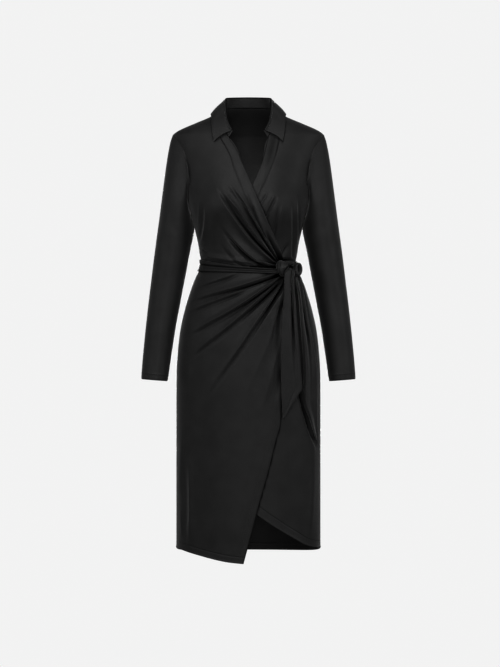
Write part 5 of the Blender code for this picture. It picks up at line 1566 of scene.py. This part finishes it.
def knot_lump():
    """The turn of sash over the knot: a lump of oval sections stacked from its top to its foot.

    A point at turn t is (middle + half width * cos t, middle depth - half depth * sin t), and each crease
    takes a narrow groove out of the front, at its own place across the width.
    """
    heights = column(KNOT, KNOT_COLUMNS, "height")
    down = np.cos(np.linspace(0, np.pi, 78))
    z = 0.5 * (heights[0] + heights[-1]) + 0.5 * (heights[0] - heights[-1]) * down
    left, right, front = (table_curve(z, KNOT, KNOT_COLUMNS, "height", name)[:, None]
                          for name in KNOT_COLUMNS[1:])
    turns = np.linspace(0, 2 * np.pi, 104, endpoint=False)[None, :]
    across = 0.5 + 0.5 * np.cos(turns)
    share = ((heights[0] - z) / (heights[0] - heights[-1]))[:, None]
    relief = 0 * (share + across)
    for top, middle, foot, deep, wide in KNOT_CREASES:
        at = top + (foot - top) * share + 4 * share * (1 - share) * (middle - 0.5 * (top + foot))
        beside = bell((across - at - 2.2 * wide) / (1.6 * wide))
        relief = relief + deep * (bell((across - at) / wide) - 0.5 * beside)
    ends = np.minimum(1, 4 * share) * np.minimum(1, 4 * (1 - share))
    relief = relief * ends * np.maximum(np.sin(turns), 0) ** 0.5
    x = 0.5 * (left + right) + 0.5 * (right - left) * np.cos(turns)
    y = 0.5 * (front + KNOT_BACK) + 0.5 * (front - KNOT_BACK) * np.sin(turns) + relief
    points = np.stack([x, y, z[:, None] + 0 * turns], axis=-1)
    chart = crossed(np.append(turns, 2 * np.pi)[None, :] * KNOT_RADIUS, z[:, None])
    # painted shade in the knot's creases
    return capped_tube("sash_knot_lump", points, chart, ["sash_knot"], np.clip(relief / 0.0020, 0, 1))


def capped_tube(name, rings, chart, nodes, shade=None):
    """A closed tube of rings whose ends are shut by a small fan of quads across."""
    rows, columns = rings.shape[:2]
    middle = np.stack([rings[0].mean(axis=0), rings[-1].mean(axis=0)])
    points = np.concatenate([rings.reshape(-1, 3), middle])
    cell = grid_index(rows, columns)
    tag = np.arange(cell.size).reshape(cell.shape)
    faces, tags = [quads(cell)], [quads(tag)]
    for row, centre, way in ((0, rows * columns, -1), (rows - 1, rows * columns + 1, 1)):
        a, b, c = (cell[row, first:last:2] for first, last in ((0, -2), (1, -1), (2, None)))
        ta, tb, tc = (tag[row, first:last:2] for first, last in ((0, -2), (1, -1), (2, None)))
        faces.append(np.stack([a, b, c, np.full(len(a), centre)], axis=-1)[:, ::way])
        tags.append(np.stack([ta, tb, tc, ta], axis=-1)[:, ::way])
    faces, tags = np.concatenate(faces), np.concatenate(tags)
    if not faces_outward(points, faces, points.mean(axis=0)):
        faces, tags = faces[:, ::-1], tags[:, ::-1]
    if shade is not None:
        shade = np.concatenate([shade.ravel(), [0, 0]])
    mesh = filled_mesh(name, points, faces, chart.reshape(-1, 2)[tags], shade)
    return placed(name, mesh, nodes, "sash")


def knot_band(name, path, width, thick, pleat):
    """A short band of the knot: an oval section with one pleat, carried along a smooth path."""
    t = np.linspace(0, 1, 64)
    knots = np.linspace(0, 1, len(path))
    line = np.stack([curve(t, knots, np.array(path)[:, k]) for k in range(3)], axis=-1)
    run = unit(np.gradient(line, axis=0))
    turn = np.radians(KNOT_TURN)
    side = unit(np.cross(run, (np.sin(turn), -np.cos(turn), 0.0)))
    out = np.cross(side, run)
    half, deep = (np.interp(t, np.linspace(0, 1, len(sizes)), sizes) / 2 for sizes in (width, thick))
    turns = np.linspace(0, 2 * np.pi, 48, endpoint=False)
    across, bulge = (np.sign(way) * np.abs(way) ** 0.8 for way in (np.cos(turns), np.sin(turns)))
    relief = -PLEAT_DEPTH * bell((across - pleat) / 0.12) * (np.sin(turns) > 0)
    rings = (line[:, None] + half[:, None, None] * across[None, :, None] * side[:, None]
             + (deep[:, None] * bulge[None, :] + relief[None, :])[..., None] * out[:, None])
    chart = crossed(np.append(turns, 2 * np.pi)[None, :] * STRIP_RADIUS, walked_along(line)[:, None])
    return capped_tube(name, rings, chart, ["sash_knot"])


def seen(x, z, y):
    """A point that the level camera sees at (x, z), given in metres at the dress's middle plane."""
    share = (VIEW_DISTANCE + y) / VIEW_DISTANCE
    middle_x, middle_z = VIEW_CENTRE
    return middle_x + (x - middle_x) * share, y, middle_z + (z - middle_z) * share


def sash_loop():
    """A small ring of folded sash beside the knot: thicker at its foot, where it goes back into the knot."""
    turn = np.radians(LOOP_TURN)
    left = np.array([np.cos(turn), np.sin(turn), 0.0])
    out = np.array([np.sin(turn), -np.cos(turn), 0.0])
    up = np.array([0.0, 0.0, 1.0])
    turns = np.linspace(0, 2 * np.pi, 110, endpoint=False)
    away = unit(np.cos(turns)[:, None] / LOOP_RADII[0] * left + np.sin(turns)[:, None] / LOOP_RADII[1] * up)
    rim = LOOP_RADII[0] * np.cos(turns)[:, None] * left + LOOP_RADII[1] * np.sin(turns)[:, None] * up
    across = np.linspace(0.5, -0.5, 22)
    crown = LOOP_CROWN * (1 - (2 * across[:, None]) ** 2) + 0 * turns[None, :]
    face = (np.array(LOOP_MIDDLE) + rim[None] + across[:, None, None] * LOOP_WIDTH * out
            + crown[..., None] * away[None])
    wall = LOOP_CLOTH[0] + (LOOP_CLOTH[1] - LOOP_CLOTH[0]) * ease(0.5 - 0.5 * np.sin(turns))
    back = face - (wall[None, :, None] + crown[..., None]) * away[None]
    chart = crossed(np.append(turns, 2 * np.pi)[None, :] * LOOP_RADIUS, across[:, None] * LOOP_WIDTH)
    return cloth_piece("sash_loop", face, back, chart, closed=True, finish="sash")


# ---------------------------------------------------------------- stitches

STITCH_LINES = {}          # lines of stitching found while the panels are made: points and outward directions


def note_stitches(name, face, back, index, by_row=False):
    """Keeps one row or column of a panel's points as a line of stitching."""
    if by_row:
        points, inner = face[index], back[index]
    else:
        points, inner = face[:, index], back[:, index]
    STITCH_LINES[name] = (points, unit(points - inner))


def at_marks(marks, walked, values):
    """Values known along a line, at marks on it."""
    return np.stack([np.interp(marks, walked, values[:, k]) for k in range(3)], axis=-1)


def stitches(pitch):
    """Every stitch as a small four-sided bead: rings along its own way, drawn in at both ends."""
    beads = []
    ring_at = np.array((-0.50, -0.32, 0.32, 0.50))[:, None, None] * STITCH_LENGTH
    ring_wide = np.array((0.35, 1.0, 1.0, 0.35))[:, None, None] * STITCH_RADIUS
    turns = np.linspace(0, 2 * np.pi, STITCH_SIDES, endpoint=False)[:, None]
    for points, out in STITCH_LINES.values():
        run = np.gradient(points, axis=0)
        length = np.linalg.norm(run, axis=-1, keepdims=True)
        side = np.cross(out, run / np.maximum(length, 1e-9))
        for shift in STITCH_ROWS:
            line = points + shift * side
            walked = walked_along(line)
            marks = np.arange(0.5 * pitch, walked[-1], pitch)
            way = unit(at_marks(marks + 0.001, walked, line) - at_marks(marks - 0.001, walked, line))
            up = at_marks(marks, walked, out)
            centre = at_marks(marks, walked, line) + 0.4 * STITCH_RADIUS * up
            centre, way, up = (values[:, None, None] for values in (centre, way, up))
            rings = (centre + ring_at * way
                     + ring_wide * (np.cos(turns) * np.cross(way, up) + np.sin(turns) * up))
            beads.append(rings.reshape(-1, 3))
    points = np.concatenate(beads)
    cell = grid_index(4, STITCH_SIDES)
    bead = np.concatenate([quads(cell), [cell[0, 3::-1]], [cell[3, :4]]])
    per_bead = 4 * STITCH_SIDES
    count = len(points) // per_bead
    faces = (bead[None] + per_bead * np.arange(count)[:, None, None]).reshape(-1, 4)
    if not faces_outward(points, bead, points[:per_bead].mean(axis=0)):
        faces = faces[:, ::-1]
    return placed("stitching", filled_mesh("stitching", points, faces), [], "thread")


# ---------------------------------------------------------------- materials

FINISHES = {}
PAINTED_SHADE_SHARE = 0.06          # share of the cloth's colour, sheen and specular left where the painted shade is full
SASH_BAND_SHADE = 0.80         # share of the sash's colour that the band round the waist keeps: a darker copy of the same cloth, painted shade


def hex_colour(text):
    """An sRGB colour like #1c1c1d as linear red, green and blue."""
    values = np.array([int(text[k:k + 2], 16) for k in (1, 3, 5)]) / 255
    linear = np.where(values <= 0.04045, values / 12.92, ((values + 0.055) / 1.055) ** 2.4)
    return tuple(float(value) for value in linear)


def add_node(tree, kind, settings=None, values=None, links=None):
    """Adds a node, sets its settings and socket values, and links other nodes' outputs to its sockets."""
    node = tree.nodes.new(kind)
    for name, value in (settings or {}).items():
        setattr(node, name, value)
    for socket, value in (values or {}).items():
        node.inputs[socket].default_value = value
    for socket, source in (links or {}).items():
        tree.links.new(source, node.inputs[socket])
    return node


def blank_material(name):
    """A new material, its node tree and its shader."""
    material = bpy.data.materials.new(name)
    material.use_nodes = True
    return material, material.node_tree, material.node_tree.nodes["Principled BSDF"]


def knitted(name, colour, roughness, sheen, wale):
    """Viscose jersey, knitted in fine plain stitches and dyed black.

    To the eye it is a soft, nearly matt black with a faint lighter bloom where it turns away, and close up it
    shows rows of small loops. The real rows are 0.7 mm apart; they are drawn wider so that they show. Where
    the mesh's painted_shade attribute is set, its colour, sheen and specular are darkened: painted shade in
    folds, beside edges and along seams.
    """
    material, tree, shader = blank_material(name)
    shader.inputs["Sheen Roughness"].default_value = 0.42
    shader.inputs["IOR"].default_value = 1.45
    cloth = add_node(tree, "ShaderNodeUVMap", {"uv_map": "cloth"}).outputs["UV"]
    place = add_node(tree, "ShaderNodeTexCoord").outputs["Object"]
    rows = 2 * np.pi / 20 / wale
    wales, courses = (
        add_node(tree, "ShaderNodeTexWave", {"wave_type": "BANDS", "bands_direction": way},
                 {"Scale": rows * share, "Distortion": 0.0}, {"Vector": cloth}).outputs["Fac"]
        for way, share in (("X", 1.0), ("Y", 1.35)))
    loops = add_node(tree, "ShaderNodeMath", {"operation": "MULTIPLY"}, None,
                     {0: wales, 1: courses}).outputs[0]
    handle, fibre = (
        add_node(tree, "ShaderNodeTexNoise", None, {"Scale": scale, "Detail": detail, "Roughness": rough},
                 {"Vector": place}).outputs["Fac"]
        for scale, detail, rough in ((26.0, 3.0, 0.5), (420.0, 2.0, 0.6)))
    low, high = (tuple(c * share for c in colour) + (1.0,) for share in (0.86, 1.16))
    mix = add_node(tree, "ShaderNodeMapRange", None,
                   {"From Min": 0.35, "From Max": 0.65, "To Min": 0.0, "To Max": 1.0},
                   {"Value": handle}).outputs[0]
    tone = add_node(tree, "ShaderNodeMix", {"data_type": "RGBA"}, None, {0: mix})
    tone.inputs[6].default_value = low
    tone.inputs[7].default_value = high
    # painted shade: the mesh's painted_shade attribute mixes the colour toward near black
    shade_fac = add_node(tree, "ShaderNodeAttribute", {"attribute_name": "painted_shade"}).outputs["Fac"]
    shaded = add_node(tree, "ShaderNodeMix", {"data_type": "RGBA"}, None, {0: shade_fac})
    tree.links.new(tone.outputs[2], shaded.inputs[6])
    shaded.inputs[7].default_value = tuple(c * PAINTED_SHADE_SHARE for c in colour) + (1.0,)
    tree.links.new(shaded.outputs[2], shader.inputs["Base Color"])
    # and lowers the sheen and specular by the same painted shade
    for socket, open_value in (("Sheen Weight", sheen), ("Specular IOR Level", 0.22)):
        gloss = add_node(tree, "ShaderNodeMapRange", None,
                         {"To Min": open_value, "To Max": open_value * PAINTED_SHADE_SHARE},
                         {"Value": shade_fac}).outputs[0]
        tree.links.new(gloss, shader.inputs[socket])
    matt = add_node(tree, "ShaderNodeMapRange", None,
                    {"From Min": 0.3, "From Max": 0.7, "To Min": roughness - 0.05,
                     "To Max": roughness + 0.05}, {"Value": fibre}).outputs[0]
    tree.links.new(matt, shader.inputs["Roughness"])
    soft = add_node(tree, "ShaderNodeBump", None, {"Strength": 0.35, "Distance": 0.0012}, {"Height": handle})
    fuzz = add_node(tree, "ShaderNodeBump", None, {"Strength": 0.22, "Distance": 0.0003},
                    {"Height": fibre, "Normal": soft.outputs[0]})
    knit = add_node(tree, "ShaderNodeBump", None, {"Strength": 0.40, "Distance": 0.00025},
                    {"Height": loops, "Normal": fuzz.outputs[0]})
    tree.links.new(knit.outputs[0], shader.inputs["Normal"])
    return material


def thread(name, colour):
    """Spun polyester sewing thread: a little glossier than the jersey, so a stitch is a fine bright dot."""
    material, tree, shader = blank_material(name)
    shader.inputs["Base Color"].default_value = (*colour, 1.0)
    shader.inputs["Roughness"].default_value = 0.62
    place = add_node(tree, "ShaderNodeTexCoord").outputs["Object"]
    twist = add_node(tree, "ShaderNodeTexNoise", None, {"Scale": 2500.0, "Detail": 1.0}, {"Vector": place})
    bump = add_node(tree, "ShaderNodeBump", None, {"Strength": 0.4, "Distance": 0.0001},
                    {"Height": twist.outputs["Fac"]})
    tree.links.new(bump.outputs[0], shader.inputs["Normal"])
    return material


def finishes():
    """The dress's materials, made once."""
    if not FINISHES:
        look = bpy.context.scene.wrap_dress
        # the band round the waist gets a darker, less glossy copy of the sash's cloth: painted shade
        shaded_band = tuple(SASH_BAND_SHADE * part for part in look.sash_colour)
        for key, name, colour, rougher, sheen in (
                ("jersey", "black_viscose_jersey", look.jersey_colour, 0.0, 1.0),
                ("sash", "black_viscose_jersey_sash", look.sash_colour, -0.03, 1.0),
                ("shaded_band", "black_viscose_jersey_band_painted_shade", shaded_band, 0.05, 0.5)):
            FINISHES[key] = knitted(name, colour, look.roughness + rougher, sheen * look.sheen, look.wale)
        FINISHES["thread"] = thread("spun_polyester_thread", look.thread_colour)
    return FINISHES


# ---------------------------------------------------------------- stage

def floor_disc():
    """A round pale floor under the dress: rings of points whose outer part fades away."""
    radii = np.concatenate([[0.0005], np.linspace(0.05, FLOOR_RADIUS, 24)])
    turns = np.linspace(0, 2 * np.pi, 96, endpoint=False)
    points = np.stack([radii[:, None] * np.cos(turns)[None, :], radii[:, None] * np.sin(turns)[None, :],
                       np.full((len(radii), len(turns)), FLOOR_HEIGHT)], axis=-1)
    faces = quads(grid_index(len(radii), len(turns)))[:, (0, 3, 2, 1)]
    floor = bpy.data.objects.new("studio_floor", filled_mesh("studio_floor", points.reshape(-1, 3), faces))
    bpy.context.scene.collection.objects.link(floor)
    floor.data.materials.append(floor_paint())


def floor_paint():
    """Matt white studio paint that thins out toward the floor's rim."""
    material, tree, shader = blank_material("matt_studio_paint")
    shader.inputs["Base Color"].default_value = (*hex_colour("#a9a8a7"), 1.0)
    shader.inputs["Roughness"].default_value = 0.9
    place = add_node(tree, "ShaderNodeTexCoord").outputs["Object"]
    level = {1: (1.0, 1.0, 0.0)}
    flat = add_node(tree, "ShaderNodeVectorMath", {"operation": "MULTIPLY"}, level, {0: place})
    reach = add_node(tree, "ShaderNodeVectorMath", {"operation": "LENGTH"}, None, {0: flat.outputs[0]})
    fade = add_node(tree, "ShaderNodeMapRange", {"interpolation_type": "SMOOTHSTEP"},
                    {"From Min": 0.5, "From Max": FLOOR_RADIUS * 0.97, "To Min": 1.0, "To Max": 0.0},
                    {"Value": reach.outputs["Value"]})
    tree.links.new(fade.outputs[0], shader.inputs["Alpha"])
    return material


def backdrop(brightness, light):
    """The pale surround: one brightness for the eye and a weaker one as soft light from all round."""
    world = bpy.data.worlds.new("studio")
    bpy.context.scene.world = world
    world.use_nodes = True
    tree = world.node_tree
    paint = tree.nodes["Background"]
    ray = add_node(tree, "ShaderNodeLightPath").outputs["Is Camera Ray"]
    strength = add_node(tree, "ShaderNodeMapRange", None,
                        {"To Min": light, "To Max": brightness}, {"Value": ray})
    paint.inputs["Color"].default_value = (*hex_colour("#ffffff"), 1.0)
    tree.links.new(strength.outputs[0], paint.inputs["Strength"])


def soft_light(name, place, aim_height, size, power):
    """A rectangle of light that looks at the dress's middle line at a height."""
    lamp = bpy.data.lights.new(name, "AREA")
    lamp.shape = "RECTANGLE"
    lamp.size, lamp.size_y = size
    lamp.energy = power
    thing = bpy.data.objects.new(name, lamp)
    bpy.context.scene.collection.objects.link(thing)
    way = unit(np.array((0.0, 0.0, aim_height)) - np.array(place))
    side = unit(np.cross(way, (0.0, 0.0, 1.0)))
    up = np.cross(side, way)
    matrix = np.eye(4)
    matrix[:3, 0], matrix[:3, 1], matrix[:3, 2], matrix[:3, 3] = side, up, -way, place
    thing.matrix_world = Matrix(matrix)
    thing.visible_camera = False


def level_camera():
    """A level camera far in front of the dress's middle."""
    camera = bpy.data.cameras.new("camera")
    camera.sensor_width = SENSOR
    camera.lens = SENSOR * VIEW_DISTANCE / VIEW_HEIGHT
    thing = bpy.data.objects.new("camera", camera)
    bpy.context.scene.collection.objects.link(thing)
    thing.location = (VIEW_CENTRE[0], -VIEW_DISTANCE, VIEW_CENTRE[1])
    thing.rotation_euler = (0.5 * np.pi, 0.0, 0.0)
    bpy.context.scene.camera = thing


# ---------------------------------------------------------------- add-on

class WrapDressSettings(bpy.types.PropertyGroup):
    """Sizes and colours of the dress that a user would change."""
    jersey_colour: bpy.props.FloatVectorProperty(
        name="Jersey colour", description="Colour of the dress's cloth", subtype="COLOR", size=3,
        min=0, max=1, default=hex_colour("#161616"))
    sash_colour: bpy.props.FloatVectorProperty(
        name="Sash colour", description="Colour of the sash, knot and tails", subtype="COLOR", size=3,
        min=0, max=1, default=hex_colour("#171717"))
    thread_colour: bpy.props.FloatVectorProperty(
        name="Thread colour", description="Colour of the stitches", subtype="COLOR", size=3, min=0, max=1,
        default=hex_colour("#0e0e0f"))
    roughness: bpy.props.FloatProperty(
        name="Roughness", description="How matt the jersey is", default=0.54, min=0.2, max=1.0,
        subtype="FACTOR")
    sheen: bpy.props.FloatProperty(
        name="Sheen", description="How much the cloth's nap lights up at grazing angles", default=0.12,
        min=0, max=1, subtype="FACTOR")
    wale: bpy.props.FloatProperty(
        name="Knit spacing", description="Distance between two rows of loops", default=0.0014,
        min=0.0004, max=0.005, unit="LENGTH", precision=4)
    stitch_pitch: bpy.props.FloatProperty(
        name="Stitch spacing", description="Distance between two stitches along a seam", default=STITCH_PITCH,
        min=0.002, max=0.02, unit="LENGTH", precision=4)
    backdrop: bpy.props.FloatProperty(
        name="Backdrop", description="Brightness of the pale surround to the eye", default=0.917,
        min=0, max=20)
    soft_fill: bpy.props.FloatProperty(
        name="Soft fill", description="Brightness of the surround as a light", default=0.14, min=0, max=20)
    key_power: bpy.props.FloatProperty(
        name="Key light", description="Power of the large light in front", default=370.0, min=0, unit="POWER")


class WRAPDRESS_OT_stage(bpy.types.Operator):
    """Set up the pale floor, the surround, the soft lights and the level camera"""
    bl_idname = "wrapdress.stage"
    bl_label = "Stage"

    def execute(self, context):
        look = context.scene.wrap_dress
        context.scene.view_settings.view_transform = "Standard"
        context.scene.view_settings.gamma = FILM_GAMMA
        level_camera()
        floor_disc()
        backdrop(look.backdrop, look.soft_fill)
        for name, (place, aim_height, size, share) in LIGHTS.items():
            soft_light(name, place, aim_height, size, share * look.key_power)
        return {"FINISHED"}


class WRAPDRESS_OT_bodice(bpy.types.Operator):
    """Make the gathered over front, the under front and the back of the bodice"""
    bl_idname = "wrapdress.bodice"
    bl_label = "Bodice"

    def execute(self, context):
        right_front_bodice()
        left_front_bodice()
        back_bodice()
        return {"FINISHED"}


class WRAPDRESS_OT_skirt(bpy.types.Operator):
    """Make the gathered over front, the curved under front and the back of the skirt"""
    bl_idname = "wrapdress.skirt"
    bl_label = "Skirt"

    def execute(self, context):
        right_front_skirt()
        left_front_skirt()
        back_skirt()
        return {"FINISHED"}


class WRAPDRESS_OT_sleeves(bpy.types.Operator):
    """Make the two long sleeves"""
    bl_idname = "wrapdress.sleeves"
    bl_label = "Sleeves"

    def execute(self, context):
        sleeve("right_sleeve", -1)
        sleeve("left_sleeve", 1)
        return {"FINISHED"}


class WRAPDRESS_OT_collar(bpy.types.Operator):
    """Make the turned-down collar and the facings that show in the V"""
    bl_idname = "wrapdress.collar"
    bl_label = "Collar and facings"

    def execute(self, context):
        collar()
        facing("right_front_facing", OVER_NECK_EDGE, 1,
                    lambda w, x, z: over_lift(w, x, z, BODICE_FOLDS, BODICE_SIDE_FOLDS))
        facing("left_front_facing", UNDER_NECK_EDGE, -1, lambda w, x, z: 0 * x)
        return {"FINISHED"}


class WRAPDRESS_OT_sash(bpy.types.Operator):
    """Make the sash, its knot, its small loop and its two hanging tails"""
    bl_idname = "wrapdress.sash"
    bl_label = "Sash"

    def execute(self, context):
        sash()
        knot_lump()
        strip = [seen(x, z, y) for x, z, y in KNOT_STRIP]
        knot_band("sash_knot_strip", strip, STRIP_WIDTHS, STRIP_THICKNESSES, 0.1)
        sash_loop()
        tail("sash_tail_front", FRONT_TAIL, FRONT_TAIL_SHAPE, 0.012, TAIL_TIP_WIDTHS[0])
        tail("sash_tail_side", SIDE_TAIL, SIDE_TAIL_SHAPE, 0.008, TAIL_TIP_WIDTHS[1])
        return {"FINISHED"}


class WRAPDRESS_OT_stitching(bpy.types.Operator):
    """Sew the hems and the bands beside the free edges"""
    bl_idname = "wrapdress.stitching"
    bl_label = "Stitching"

    def execute(self, context):
        if not STITCH_LINES:
            raise RuntimeError("make the panels before the stitching")
        stitches(context.scene.wrap_dress.stitch_pitch)
        return {"FINISHED"}


class WRAPDRESS_PT_panel(bpy.types.Panel):
    """The dress's settings and the buttons that make its pieces"""
    bl_label = "Wrap dress"
    bl_space_type = "VIEW_3D"
    bl_region_type = "UI"
    bl_category = "Dress"

    def draw(self, context):
        look = context.scene.wrap_dress
        for name in WrapDressSettings.__annotations__:
            self.layout.prop(look, name)
        for operator in OPERATORS:
            self.layout.operator(operator.bl_idname)


OPERATORS = (WRAPDRESS_OT_stage, WRAPDRESS_OT_bodice, WRAPDRESS_OT_skirt, WRAPDRESS_OT_sleeves,
             WRAPDRESS_OT_collar, WRAPDRESS_OT_sash, WRAPDRESS_OT_stitching)
CLASSES = (WrapDressSettings, *OPERATORS, WRAPDRESS_PT_panel)


def register():
    """Makes the settings, the operators and the panel known to Blender."""
    for kind in CLASSES:
        bpy.utils.register_class(kind)
    bpy.types.Scene.wrap_dress = bpy.props.PointerProperty(type=WrapDressSettings)


def unregister():
    """Takes them away again."""
    del bpy.types.Scene.wrap_dress
    for kind in reversed(CLASSES):
        bpy.utils.unregister_class(kind)


def main():
    """Makes every piece by its operator."""
    register()
    for operator in OPERATORS:
        group, action = operator.bl_idname.split(".")
        getattr(getattr(bpy.ops, group), action)()


if __name__ == "__main__":
    main()
